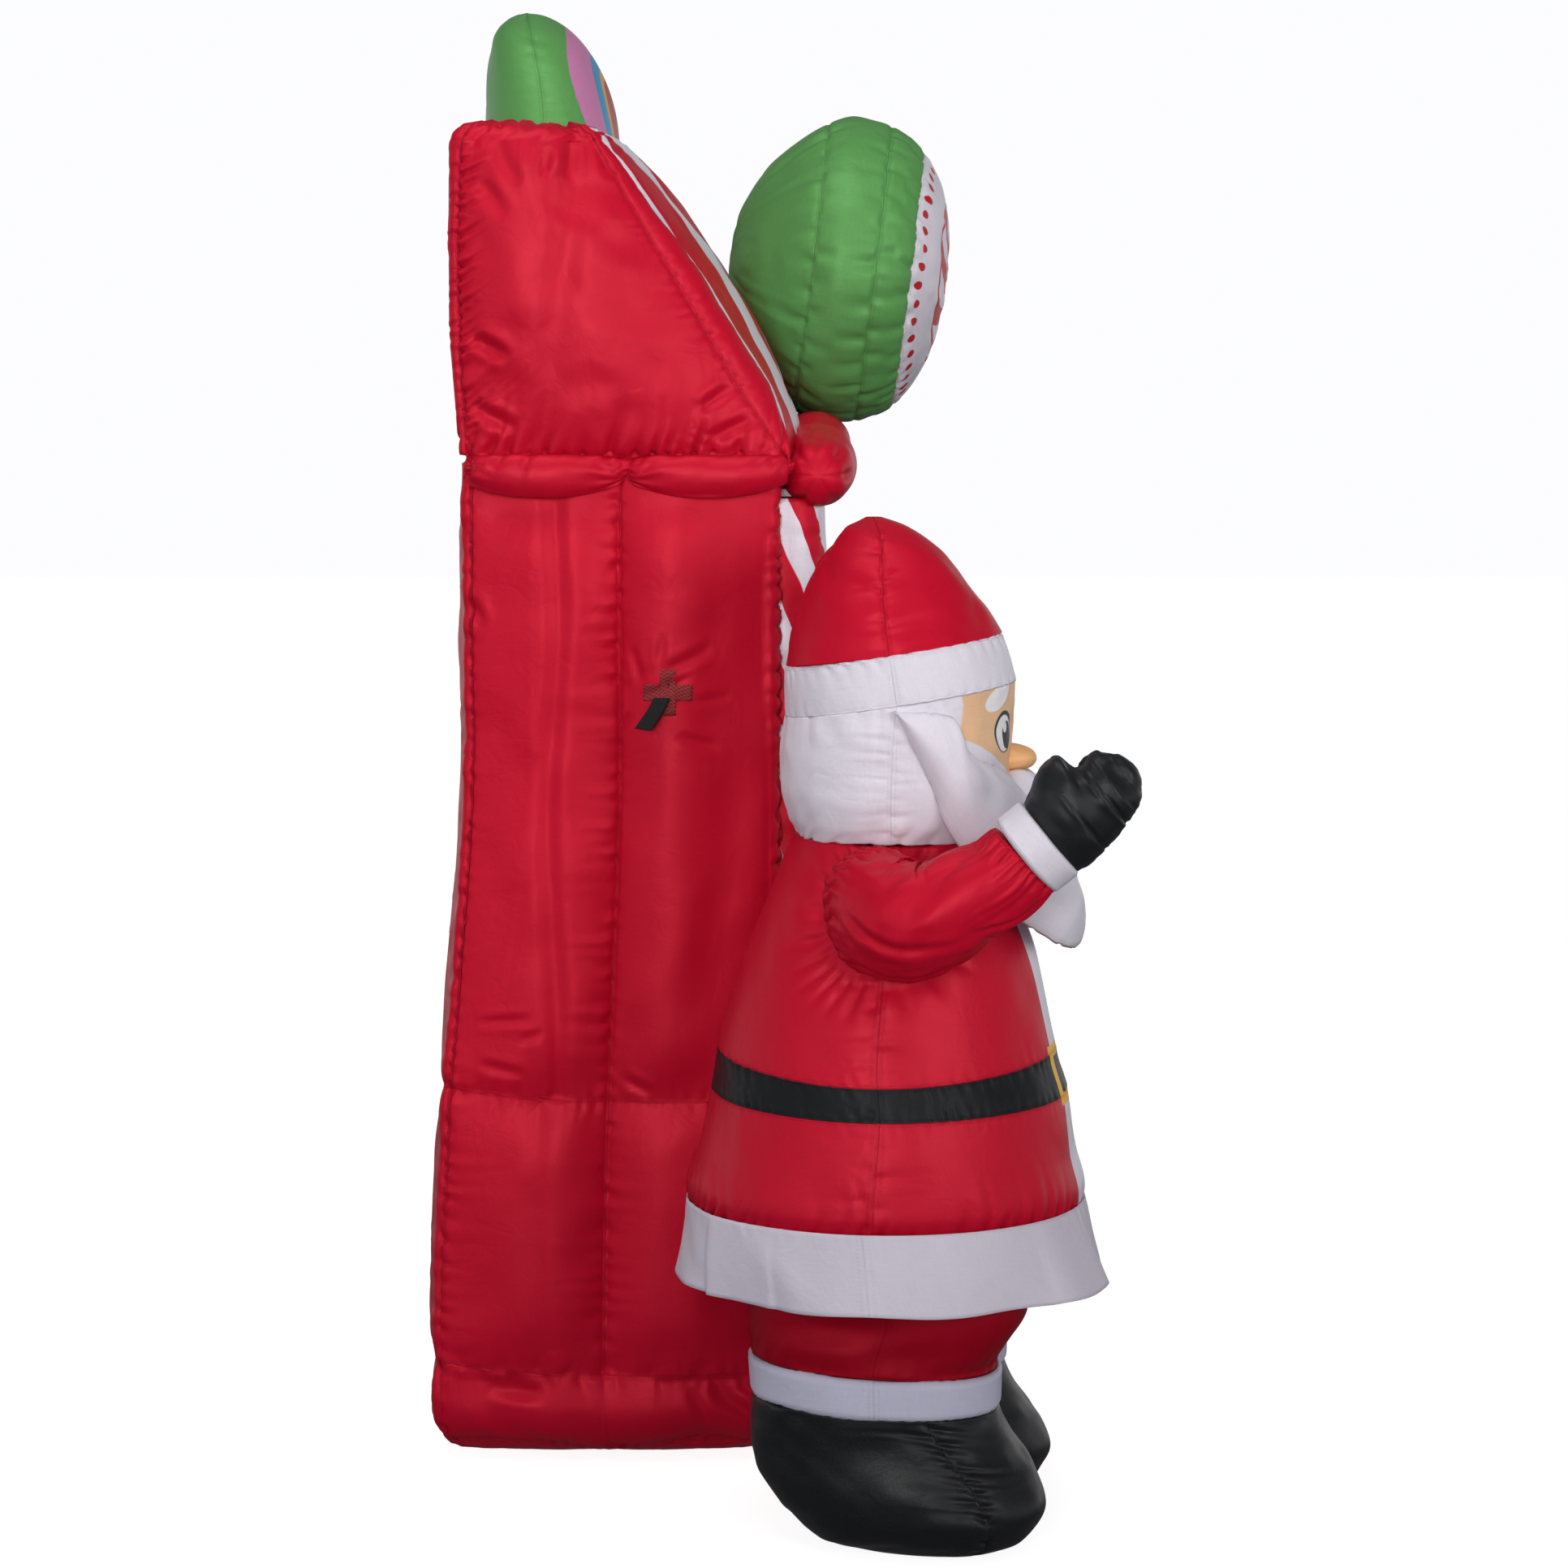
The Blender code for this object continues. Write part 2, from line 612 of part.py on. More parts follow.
MOUSTACHE_HALF_WIDTH = 0.070
MOUSTACHE_HEIGHT = 0.734
MOUSTACHE_DROOP = 0.030
MOUSTACHE_DROOP_POWER = 1.6
MOUSTACHE_FULLNESS = 0.0215
MOUSTACHE_LEAST = 0.001
MOUSTACHE_MIDDLE_SHARE = 0.72
MOUSTACHE_END_POWER = 2.2
MOUSTACHE_REACH = 0.128
MOUSTACHE_WRAP = 0.62
MOUSTACHE_THICKNESS = 0.022
MOUSTACHE_THINNING = 0.7
MOUSTACHE_STEPS = 12
MOUSTACHE_FACETS = 8


def build_moustache(parent, head, nose):
    """Two drooping wings that meet under the nose."""
    rings = []
    for i in range(MOUSTACHE_STEPS + 1):
        across = -1 + 2 * i / MOUSTACHE_STEPS
        aside = abs(across)
        wide = figure(MOUSTACHE_HALF_WIDTH) * across
        droop = -MOUSTACHE_DROOP * aside**MOUSTACHE_DROOP_POWER
        middle = MOUSTACHE_MIDDLE_SHARE + (1 - MOUSTACHE_MIDDLE_SHARE) * min(4 * aside, 1)
        height = MOUSTACHE_FULLNESS * (1 - aside**MOUSTACHE_END_POWER) ** 0.6 * middle + MOUSTACHE_LEAST
        y = -figure(MOUSTACHE_REACH) * math.cos(MOUSTACHE_WRAP * across)
        thick = figure(MOUSTACHE_THICKNESS) * (1 - MOUSTACHE_THINNING * across**2)
        ring = []
        for k in range(MOUSTACHE_FACETS):
            turn = 2 * math.pi * (k + 0.5) / MOUSTACHE_FACETS
            level = MOUSTACHE_HEIGHT + droop + height * math.sin(turn)
            ring.append((wide, y + thick * math.cos(turn), figure(level)))
        rings.append(ring)
    made = skin("moustache", rings, white_cloth, parent)
    whole = grown_copy(made)
    combine(made, grown_copy(head))
    combine(made, nose)
    return whole


# Beard edges from one temple round the mouth to the other, by the turn from straight ahead
BEARD_UPPER = [(0.0, 0.716, 0.122), (30.0, 0.740, 0.127), (60.0, 0.786, 0.123), (80.0, 0.814, 0.119)]
BEARD_LOWER = [(0.0, 0.577, 0.186), (20.0, 0.610, 0.170), (45.0, 0.680, 0.132), (80.0, 0.806, 0.119)]
BEARD_TURNS_DEG = (-79, -68, -53, -38, -25, -12, 0, 12, 25, 38, 53, 68, 79)
BEARD_FRONT_SWELL = 0.030
BEARD_BACK_SWELL = 0.022
BEARD_SWELL_POWER = 0.6
BEARD_FACETS = 10


def build_beard(parent, head, band, coat, moustache):
    """A bib of two cloths sewn round the edge: rows across, each a lens from edge to edge."""
    rings = []
    for turn in BEARD_TURNS_DEG:
        high_z, high_reach = smooth_at(BEARD_UPPER, np.array([abs(turn)], float))
        low_z, low_reach = smooth_at(BEARD_LOWER, np.array([abs(turn)], float))
        angle = math.radians(turn)
        out = Vector((math.sin(angle), -math.cos(angle), 0))
        fullness = math.cos(angle) ** BEARD_SWELL_POWER
        ring = []
        for k in range(BEARD_FACETS):
            round_turn = 2 * math.pi * k / BEARD_FACETS
            down = (1 - math.cos(round_turn)) / 2
            swell = math.sin(round_turn)
            reach = high_reach[0] + (low_reach[0] - high_reach[0]) * down
            thick = (BEARD_FRONT_SWELL if swell > 0 else BEARD_BACK_SWELL) * swell * fullness
            z = high_z[0] + (low_z[0] - high_z[0]) * down
            ring.append(out * figure(reach + thick) + Vector((0, 0, figure(z))))
        rings.append(ring)
    beard = skin("beard", rings, white_cloth, parent)
    for other in (head, band, coat):
        combine(beard, grown_copy(other))
    combine(beard, moustache)


ARM_FACETS = 14
THUMB_FACETS = 10
LEAST_SIDEWAYS = 0.35


def tube(name, stations, material, parent, count=ARM_FACETS):
    """A bent sleeve of cloth: stations are (x, y, z, half breadth, half depth), as shares of height."""
    path = [Vector(tuple(figure(v) for v in row[:3])) for row in stations]
    rings = []
    for i, row in enumerate(stations):
        ahead = path[min(i + 1, len(path) - 1)] - path[max(i - 1, 0)]
        ahead.normalize()
        across = ahead.cross(Vector((1, 0, 0)))
        if across.length < LEAST_SIDEWAYS:
            across = Vector((0, 0, 1))
        across.normalize()
        deep = across.cross(ahead).normalized()
        ring = []
        for k in range(count):
            turn = 2 * math.pi * (k + 0.5) / count
            ring.append(
                path[i]
                + across * (figure(row[3]) * math.cos(turn))
                + deep * (figure(row[4]) * math.sin(turn))
            )
        rings.append(ring)
    return skin(name, rings, material, parent)


def smooth_path(stations, count):
    """The same stations on a smooth curve, evenly read."""
    table = [(i, *row) for i, row in enumerate(stations)]
    columns = smooth_at(table, np.linspace(0, len(stations) - 1, count))
    return list(zip(*columns))


# Raised right arm and lowered left arm: x outwards, y, height, half breadth, half depth
RIGHT_ARM = [
    (-0.075, 0.004, 0.624, 0.050, 0.046), (-0.125, 0.003, 0.629, 0.058, 0.053),
    (-0.170, -0.025, 0.625, 0.058, 0.053), (-0.184, -0.056, 0.633, 0.052, 0.049),
    (-0.187, -0.087, 0.650, 0.047, 0.044), (-0.187, -0.117, 0.665, 0.042, 0.041),
    (-0.186, -0.139, 0.687, 0.039, 0.038),
]  # fmt: skip
LEFT_ARM = [
    (0.075, 0.000, 0.618, 0.050, 0.048), (0.125, -0.004, 0.612, 0.059, 0.050),
    (0.180, -0.018, 0.580, 0.056, 0.046), (0.212, -0.032, 0.540, 0.050, 0.042),
    (0.231, -0.042, 0.504, 0.044, 0.038), (0.244, -0.050, 0.472, 0.038, 0.036),
]  # fmt: skip
SLEEVE_RINGS = 10
CUFF_LENGTH = 0.030
CUFF_LIP = 0.004
# place along the cuff, share of its lip
CUFF_ROWS = [(0.0, 0.0), (0.15, 1.0), (0.85, 1.0), (1.0, 0.2)]
MITTEN_LENGTH = 0.103
MITTEN_RINGS = 9
# place along the mitten, half breadth, half thickness
MITTEN_OUTLINE = [
    (0.00, 0.0385, 0.0310), (0.30, 0.0375, 0.0340), (0.62, 0.0395, 0.0330), (0.84, 0.0340, 0.0270),
    (0.95, 0.0220, 0.0170), (1.00, 0.0060, 0.0050),
]  # fmt: skip
# the thumb's root and tip: along the mitten from its wrist, and up from its middle
THUMB_ROOT = (0.020, 0.018)
THUMB_TIP = (0.060, 0.053)
# place along the thumb, half thickness
THUMB_OUTLINE = [(0.0, 0.014), (0.4, 0.019), (0.75, 0.016), (0.93, 0.009), (1.0, 0.002)]


def build_arm(side, arm, parent, coat, head):
    """Sleeve, white cuff and mitten, one after another along the arm."""
    name = "right" if side < 0 else "left"
    route = smooth_path(arm, SLEEVE_RINGS)
    sleeve = tube("sleeve_" + name, route, red_cloth, parent)
    combine(sleeve, grown_copy(coat))
    combine(sleeve, grown_copy(head))
    wrist = np.array(route[-1])
    ahead = wrist[:3] - np.array(route[-2])[:3]
    ahead /= np.linalg.norm(ahead)
    clear = GAP / FIGURE_HEIGHT
    start = wrist[:3] + ahead * clear
    cuff_rows = []
    for place, lip in CUFF_ROWS:
        at = start + ahead * CUFF_LENGTH * place
        cuff_rows.append((*at, wrist[3] + CUFF_LIP * lip, wrist[4] + CUFF_LIP * lip))
    tube("cuff_" + name, cuff_rows, white_cloth, parent)
    hand = start + ahead * (CUFF_LENGTH + clear)
    places = np.linspace(0, 1, MITTEN_RINGS)
    rows = []
    for place, broad, thick in zip(places, *smooth_at(MITTEN_OUTLINE, places)):
        rows.append((*(hand + ahead * MITTEN_LENGTH * place), broad, thick))
    mitten = tube("mitten_" + name, rows, black_cloth, parent)
    up = np.cross(ahead, [1.0, 0.0, 0.0])
    root = hand + ahead * THUMB_ROOT[0] + up * THUMB_ROOT[1]
    tip = hand + ahead * THUMB_TIP[0] + up * THUMB_TIP[1]
    thumb_rows = []
    for place, thick in THUMB_OUTLINE:
        thumb_rows.append((*(root + (tip - root) * place), thick, thick))
    thumb = tube("thumb_" + name, thumb_rows, black_cloth, parent, THUMB_FACETS)
    make_helper(thumb)
    combine(mitten, thumb, "UNION")


# height, middle and half breadth from front to back of a leg, and its half width across
LEG_OUTLINE = [
    (0.140, 0.005, 0.118, 0.094), (0.186, 0.006, 0.120, 0.094), (0.240, -0.008, 0.146, 0.094),
    (0.317, 0.000, 0.144, 0.078),
]  # fmt: skip
LEG_SPREAD = 0.088
LEG_SQUARENESS = 2.2
LEG_FACETS = 18
LEG_RINGS = 6
BOOT_CUFF_LOW = 0.144
BOOT_CUFF_HIGH = 0.183
BOOT_CUFF_RISE = -0.050
BOOT_CUFF_LIP = 0.005
BOOT_CUFF_EDGE = 0.006


def half_ring(side, height, grow=0.0, front_rise=0.0):
    """Ring of one leg, pressed flat against the other leg at the middle."""
    middle, half, wide = smooth_at(LEG_OUTLINE, height)
    centre = (side * figure(LEG_SPREAD), figure(middle), figure(height))
    reach = (figure(wide) + grow, figure(half) + grow)
    ring = oval(centre, *reach, LEG_FACETS, LEG_SQUARENESS, front_rise)
    return [(side * max(side * x, GAP), y, z) for x, y, z in ring]


def build_leg(side, parent):
    name = "right" if side < 0 else "left"
    clear = GAP / FIGURE_HEIGHT
    top = COAT_HEM - clear
    rings = []
    for place in np.linspace(0, 1, LEG_RINGS):
        h = BOOT_CUFF_HIGH + (top - BOOT_CUFF_HIGH) * place
        rings.append(half_ring(side, h, 0.0, BOOT_CUFF_RISE * (1 - place)))
    skin("leg_" + name, rings, dark_red_cloth, parent)
    # height, share of the lip
    levels = [
        (BOOT_CUFF_LOW, 0.3),
        (BOOT_CUFF_LOW + BOOT_CUFF_EDGE, 1.0),
        (BOOT_CUFF_HIGH - BOOT_CUFF_EDGE, 1.0),
        (BOOT_CUFF_HIGH - clear, 0.2),
    ]
    rings = [half_ring(side, h, BOOT_CUFF_LIP * out, BOOT_CUFF_RISE) for h, out in levels]
    skin("boot_cuff_" + name, rings, white_cloth, parent)


BOOT_SPLAY_DEG = 14.0
BOOT_SQUARENESS = 2.3
BOOT_FACETS = 18
BOOT_RINGS = 8
BOOT_RING_POWER = 1.2
# height, heel, toe and half width, as shares of the figure's height
BOOT_OUTLINE = [
    (0.0000, 0.036, -0.100, 0.044), (0.0070, 0.060, -0.128, 0.062), (0.0240, 0.086, -0.150, 0.079),
    (0.0480, 0.108, -0.160, 0.089), (0.0760, 0.122, -0.152, 0.092), (0.1040, 0.127, -0.134, 0.091),
    (0.1300, 0.126, -0.118, 0.091), (0.1455, 0.123, -0.112, 0.092),
]  # fmt: skip


def build_boot(side, parent):
    """A round blown-up boot, flat where it stands and pressed flat against the other boot."""
    name = "right" if side < 0 else "left"
    top = BOOT_CUFF_LOW - GAP / FIGURE_HEIGHT
    splay = math.radians(BOOT_SPLAY_DEG) * side
    rings = []
    for place in np.linspace(0, 1, BOOT_RINGS) ** BOOT_RING_POWER:
        h = top * place
        heel, toe, half = smooth_at(BOOT_OUTLINE, h)
        centre = (0, figure((heel + toe) / 2), figure(h))
        ring = oval(centre, figure(half), figure((heel - toe) / 2), BOOT_FACETS, BOOT_SQUARENESS)
        low_turn = splay * (1 - place)
        placed = []
        for x, y, z in ring:
            turned_x = x * math.cos(low_turn) - y * math.sin(low_turn)
            turned_y = x * math.sin(low_turn) + y * math.cos(low_turn)
            shifted = side * figure(LEG_SPREAD) + turned_x
            tilt = -BOOT_CUFF_RISE * turned_y * place
            placed.append((side * max(side * shifted, GAP), turned_y, z + tilt))
        rings.append(placed)
    skin("boot_" + name, rings, black_cloth, parent)


TRIM_TOP = 0.3260
TRIM_BOTTOM = 0.2490
TRIM_FLARE = 0.018
TRIM_SWING = 0.010
TRIM_THICKNESS = 0.0030
TRIM_FACETS = 30
TRIM_ROWS = (0.0, 0.5, 1.0)
TRIM_WAVES = 5
TRIM_WAVE_SHARE = 0.35
TRIM_WAVE_START = 0.6
COAT_WIDEST = 0.3400


def build_trim(parent, walls):
    """The loose white border that hangs from the coat's hem."""
    shape = bmesh.new()
    rows = []
    for place in TRIM_ROWS:
        h = TRIM_TOP + (TRIM_BOTTOM - TRIM_TOP) * place
        ring = figure_ring(COAT_OUTLINE, COAT_WIDEST, TRIM_FACETS)
        flare = figure(TRIM_FLARE) * place + 2 * GAP
        points = []
        for i, (x, y, _) in enumerate(ring):
            turn = 2 * math.pi * TRIM_WAVES * i / TRIM_FACETS
            wave = 1 + TRIM_WAVE_SHARE * place * math.sin(turn + TRIM_WAVE_START)
            out = Vector((x, y, 0)).normalized() * flare * wave
            swung = y + out.y - figure(TRIM_SWING) * place
            points.append(shape.verts.new((x + out.x, swung, figure(h))))
        rows.append(points)
    for low, high in zip(rows, rows[1:]):
        for i in range(TRIM_FACETS):
            j = (i + 1) % TRIM_FACETS
            shape.faces.new((low[i], high[i], high[j], low[j]))
    bmesh.ops.recalc_face_normals(shape, faces=shape.faces)
    mesh = bpy.data.meshes.new("coat_trim")
    shape.to_mesh(mesh)
    shape.free()
    mesh.shade_smooth()
    trim = add_object("coat_trim", mesh, white_cloth, parent)
    wall = trim.modifiers.new("Cloth thickness", "SOLIDIFY")
    wall.thickness = TRIM_THICKNESS
    wall.offset = 1.0
    combine(trim, grown_copy(walls))


def build_shop():
    walls = build_walls()
    roof = build_roof()
    build_candy()
    sign = build_sign(roof)
    roll = build_roll(roof, walls, sign)
    for side in (-1, 1):
        build_column(side, walls, roll, roof)
        build_tether(side, walls)
    return walls


def build_figure(walls):
    stand = bpy.data.objects.new("figure_stand", None)
    parts.objects.link(stand)
    stand.location = (FIGURE_X, FIGURE_Y, 0)
    stand.rotation_euler = (0, 0, math.radians(FIGURE_TURN_DEG))
    coat = build_coat(stand)
    combine(coat, grown_copy(walls))
    head = build_head(stand)
    band, _ = build_hat(stand)
    nose = build_nose(stand, head)
    moustache = build_moustache(stand, head, nose)
    build_beard(stand, head, band, coat, moustache)
    build_arm(-1, RIGHT_ARM, stand, coat, head)
    build_arm(1, LEFT_ARM, stand, coat, head)
    for side in (-1, 1):
        build_leg(side, stand)
        build_boot(side, stand)
    build_trim(stand, walls)


clear_scene()
parts = new_collection("inflatable_santa")
cutters = new_collection("cutters")
red_cloth = cloth("red_cloth", RED)
dark_red_cloth = cloth("trouser_cloth", DARK_RED)
white_cloth = cloth("white_cloth", WHITE, 0.55)
black_cloth = cloth("black_cloth", BLACK)
green_cloth = cloth("green_cloth", GREEN)
candy_cloth = cloth("candy_cloth", WHITE, 0.5)
skin_cloth = cloth("skin_cloth", SKIN, 0.55)
build_figure(build_shop())
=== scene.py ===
import json
import math

import bpy
import numpy as np
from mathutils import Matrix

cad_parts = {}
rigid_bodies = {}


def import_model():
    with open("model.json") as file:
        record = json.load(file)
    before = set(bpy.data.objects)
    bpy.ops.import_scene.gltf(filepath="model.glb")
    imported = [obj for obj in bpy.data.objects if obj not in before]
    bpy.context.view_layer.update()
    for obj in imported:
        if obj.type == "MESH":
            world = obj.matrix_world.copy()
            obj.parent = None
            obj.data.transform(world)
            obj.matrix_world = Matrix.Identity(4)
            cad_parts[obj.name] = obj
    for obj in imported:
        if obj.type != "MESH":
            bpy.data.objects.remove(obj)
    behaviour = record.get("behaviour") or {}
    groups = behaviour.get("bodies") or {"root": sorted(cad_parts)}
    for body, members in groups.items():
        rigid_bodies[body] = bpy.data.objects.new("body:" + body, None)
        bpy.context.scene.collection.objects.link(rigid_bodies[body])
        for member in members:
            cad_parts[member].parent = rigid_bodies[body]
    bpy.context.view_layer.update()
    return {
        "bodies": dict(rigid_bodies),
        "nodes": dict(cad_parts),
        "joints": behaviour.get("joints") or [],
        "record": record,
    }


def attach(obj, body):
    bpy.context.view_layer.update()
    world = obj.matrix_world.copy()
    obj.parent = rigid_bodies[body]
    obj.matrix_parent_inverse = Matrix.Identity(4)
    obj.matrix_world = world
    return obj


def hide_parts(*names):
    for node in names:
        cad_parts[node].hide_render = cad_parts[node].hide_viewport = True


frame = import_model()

# Blow-up Santa beside a tall shop front, sewn from nylon. Metres, +Z up, the shop faces -Y.


# Curves and random values on whole arrays

def curveAt(table, place):
    # reads rows of (place, value ...) on a smooth curve: a cubic from row to row whose slopes are the
    # harmonic means of the straight slopes beside each row, so that it never overshoots
    rows = np.asarray(table, float)
    knots, values = rows[:, 0], rows[:, 1:]
    place = np.asarray(place, float)
    slope = np.diff(values, axis=0) / np.diff(knots)[:, None]
    tangent = np.vstack([slope[:1], np.zeros_like(slope[1:]), slope[-1:]])
    same = slope[:-1] * slope[1:] > 0
    total = np.where(same, slope[:-1] + slope[1:], 1.0)
    tangent[1:-1] = np.where(same, 2 * slope[:-1] * slope[1:] / total, 0.0)
    step = np.clip(np.searchsorted(knots, place, side="right") - 1, 0, len(slope) - 1)
    width = (knots[step + 1] - knots[step])[..., None]
    t = np.clip((place[..., None] - knots[step][..., None]) / width, 0, 1)
    start = ((1 + 2 * t) * values[step] + t * width * tangent[step]) * (1 - t) ** 2
    end = ((3 - 2 * t) * values[step + 1] - (1 - t) * width * tangent[step + 1]) * t ** 2
    return np.moveaxis(start + end, -1, 0)


def pick(number, seed):
    # one fixed random value from 0 to 1 for each whole number
    return np.random.default_rng(seed).random(1009)[np.asarray(number).astype(int) % 1009]


def ease(part):
    # 0 to 1 with level ends: 3 part squared less 2 part cubed
    return part * part * (3 - 2 * part)


def risen(value, run, start=0.0):
    # 0 to 1 with level ends, while the value rises by run from start
    return ease(np.clip((value - start) / run, 0, 1))


def wander(place, seed):
    # a smooth random line from -1 to 1: random heights at the whole numbers, eased between them
    low = np.floor(place)
    part = ease(place - low)
    return 2 * (pick(low, seed) * (1 - part) + pick(low + 1, seed) * part) - 1


def rumple(across, along, size, seed):
    # smooth random hills from -1 to 1: random heights on a square grid of that size, eased between
    a, b = across / size, along / size
    lowA, lowB = np.floor(a), np.floor(b)
    partA, partB = ease(a - lowA), ease(b - lowB)
    corner = 31 * lowA + 57 * lowB
    near = pick(corner, seed) * (1 - partA) + pick(corner + 31, seed) * partA
    far = pick(corner + 57, seed) * (1 - partA) + pick(corner + 88, seed) * partA
    return 2 * (near * (1 - partB) + far * partB) - 1


def hills(across, along, rows):
    # uneven cloth: adds up rumples of (height, share of across, share of along, size, seed)
    return sum(high * rumple(a * across, b * along, size, seed) for high, a, b, size, seed in rows)


def between(value, seams, reach=0.1):
    # counts the seams that a value has passed, with the share of the way to the next one, and gives
    # the metres from each seam to the next
    place = np.clip((value - seams[0]) / reach, -0.5, 0)
    span = reach + 0 * place
    for i, seam in enumerate(seams):
        gap = seams[i + 1] - seam if i + 1 < len(seams) else reach
        share = (value - seam) / gap
        place = np.where(value >= seam, i + (share if i + 1 < len(seams) else np.clip(share, 0, 0.5)), place)
        span = np.where(value >= seam, gap, span)
    return place, span


def puckers(seams, along, pitch, reach, depth, seed, slant=0.0):
    # gathered cloth beside sewn seams: creases across the seam, each with its own place, length, depth
    # and slant, drawn as a bell across the crease that widens and dies away from the seam
    place, span = seams
    number = np.round(place)
    away = np.abs(place - number) * span
    side = np.where(place < number, 0, 1)
    row = along / pitch + 5.3 * number + 0.31 * side
    row = row + 0.8 * wander(0.31 * row, seed)
    crease = np.round(row)
    key = 2 * crease + side + 97 * number
    length = reach * (0.35 + 1.1 * pick(key, seed + 1) ** 1.5)
    lean = slant + 0.7 * (pick(key, seed + 2) - 0.5)
    off = row - crease - np.clip(lean * away / pitch, -0.4, 0.4)
    width = 0.17 + 0.13 * np.minimum(away / length, 1.5)
    bell = np.exp(-(off / width) ** 2) * np.cos(np.pi * (row - crease)) ** 2
    deep = depth * (0.25 + 0.95 * pick(key, seed + 3))
    return deep * (0.35 - bell) * np.exp(-(away / length) ** 1.6)


def fromSeam(seams, width):
    # 1 on the seams, falling off beside them as a bell
    place, span = seams
    return np.exp(-((place - np.round(place)) * span / width) ** 2)


def groove(seams, depth, width=0.0042):
    # the seam itself: a narrow bell pressed in along it
    return -depth * fromSeam(seams, width)


def fold(across, along, start, end, width, depth):
    # one crease from start to end: a furrow with a lip on either side, which runs out at both ends
    run = np.subtract(end, start)
    length = np.hypot(*run)
    t = ((across - start[0]) * run[0] + (along - start[1]) * run[1]) / length ** 2
    off = ((across - start[0]) * run[1] - (along - start[1]) * run[0]) / length / width
    taper = np.clip(4 * t * (1 - t), 0, 1) ** 0.7
    return depth * taper * (0.45 * np.exp(-(np.abs(off) - 1.7) ** 2) - np.exp(-off ** 2))


# Grids of points, rows by columns

def lengths(points):
    # metres along the cloth, measured across each row from its middle and up each column, with the
    # row's first column once more at its end
    loop = np.concatenate([points, points[:, :1]], axis=1)
    across = np.cumsum(np.linalg.norm(np.diff(loop, axis=1), axis=2), axis=1)
    u = np.concatenate([np.zeros((len(points), 1)), across], axis=1)
    u -= u[:, -1:] / 2
    up = np.cumsum(np.linalg.norm(np.diff(loop, axis=0), axis=2), axis=0)
    return u, np.concatenate([np.zeros((1, loop.shape[1])), up], axis=0)


def onCloth(points):
    # the same lengths at the grid's own columns
    return [part[:, :-1] for part in lengths(points)]


def pushOut(points, height):
    # moves each point along the grid's normal, which is the cross product of its row and its column
    across = np.roll(points, -1, 1) - np.roll(points, 1, 1)
    normal = np.cross(across, np.gradient(points, axis=0))
    normal /= np.maximum(np.linalg.norm(normal, axis=2, keepdims=True), 1e-12)
    return points + normal * np.broadcast_to(height, points.shape[:2])[..., None]


noSeams = (0.5, 1.0)


def grid(points, upright=noSeams, level=noSeams, ends=(True, True), panel=0.0):
    # a surface with what its finish reads: the seams passed across and up, the metres between them,
    # and a panel value. Closed ends run on as flat rows that shrink towards the middle of the ring
    facts = np.stack(np.broadcast_arrays(upright[0], level[0], 0.0, upright[1], level[1], panel,
                                         points[..., 0])[:6], axis=-1)
    quiet = np.array([0.5, 0.5, 0, 1, 1, 0])
    shares = np.array([0.08, 0.35, 0.65, 0.9])[:, None, None]
    for end, closed in enumerate(ends):
        if not closed:
            continue
        ring = points[-end]
        centre = ring.mean(axis=0)
        rows = centre + (ring - centre) * shares
        plain = np.broadcast_to(quiet, rows.shape[:2] + (6,))
        if end == 0:
            points, facts = np.concatenate([rows, points]), np.concatenate([plain, facts])
        else:
            points, facts = np.concatenate([points, rows[::-1]]), np.concatenate([facts, plain])
    return {"points": points, "facts": facts, "ends": ends}


def addPiece(name, surfaces, cloth, node=None):
    # one mesh from one or more grids: a quad for each cell, and a fan to one point at a closed end.
    # Unless it is given, the CAD node has the piece's name in small letters and underscores
    verts, facts, faces, uvs, first = [], [], [], [], 0
    for surface in surfaces:
        points = surface["points"]
        rows, columns = points.shape[:2]
        u, v = lengths(points)
        r, c = np.meshgrid(np.arange(rows - 1), np.arange(columns), indexing="ij")
        corners = [(r, c), (r, c + 1), (r + 1, c + 1), (r + 1, c)]
        faces += np.stack([first + a * columns + b % columns for a, b in corners], -1).reshape(-1, 4).tolist()
        uvs.append(np.stack([np.stack([u[a, b], v[a, b]], -1) for a, b in corners], 2).reshape(-1, 2))
        verts.append(points.reshape(-1, 3))
        facts.append(surface["facts"].reshape(-1, 6))
        first += rows * columns
        for end in (0, 1):
            if not surface["ends"][end]:
                continue
            row = (rows - 1) * end
            here = np.arange(columns)
            sides = (here + 1 - end, here + end)
            ring = first - rows * columns + row * columns
            faces += np.stack([np.full(columns, first)] + [ring + at % columns for at in sides], -1).tolist()
            middle = np.stack([u[row, :columns], np.full(columns, v[row].mean())], -1)
            flat = [np.stack([u[row, at], v[row, here]], -1) for at in sides]
            uvs.append(np.stack([middle] + flat, 1).reshape(-1, 2))
            verts.append(points[row].mean(axis=0)[None])
            facts.append(surface["facts"][row, :1])
            first += 1
    mesh = bpy.data.meshes.new(name)
    mesh.from_pydata(np.concatenate(verts).tolist(), [], faces)
    mesh.uv_layers.new(name="cloth").uv.foreach_set("vector", np.concatenate(uvs).astype(np.float32).ravel())
    facts = np.concatenate(facts).astype(np.float32)
    for label, part in (("seamPlace", facts[:, :3]), ("seamSpan", facts[:, 3:])):
        mesh.attributes.new(label, "FLOAT_VECTOR", "POINT").data.foreach_set("vector", part.ravel())
    mesh.shade_smooth()
    mesh.materials.append(cloth["finish"])
    piece = bpy.data.objects.new(name, mesh)
    bpy.context.scene.collection.objects.link(piece)
    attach(piece, "root")
    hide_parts(node or "".join("_" + c.lower() if c.isupper() else c for c in name))
    print("sewn", name, len(mesh.polygons), "faces")
    return piece


# Finishes: a socket with arithmetic, and the node tree that it belongs to

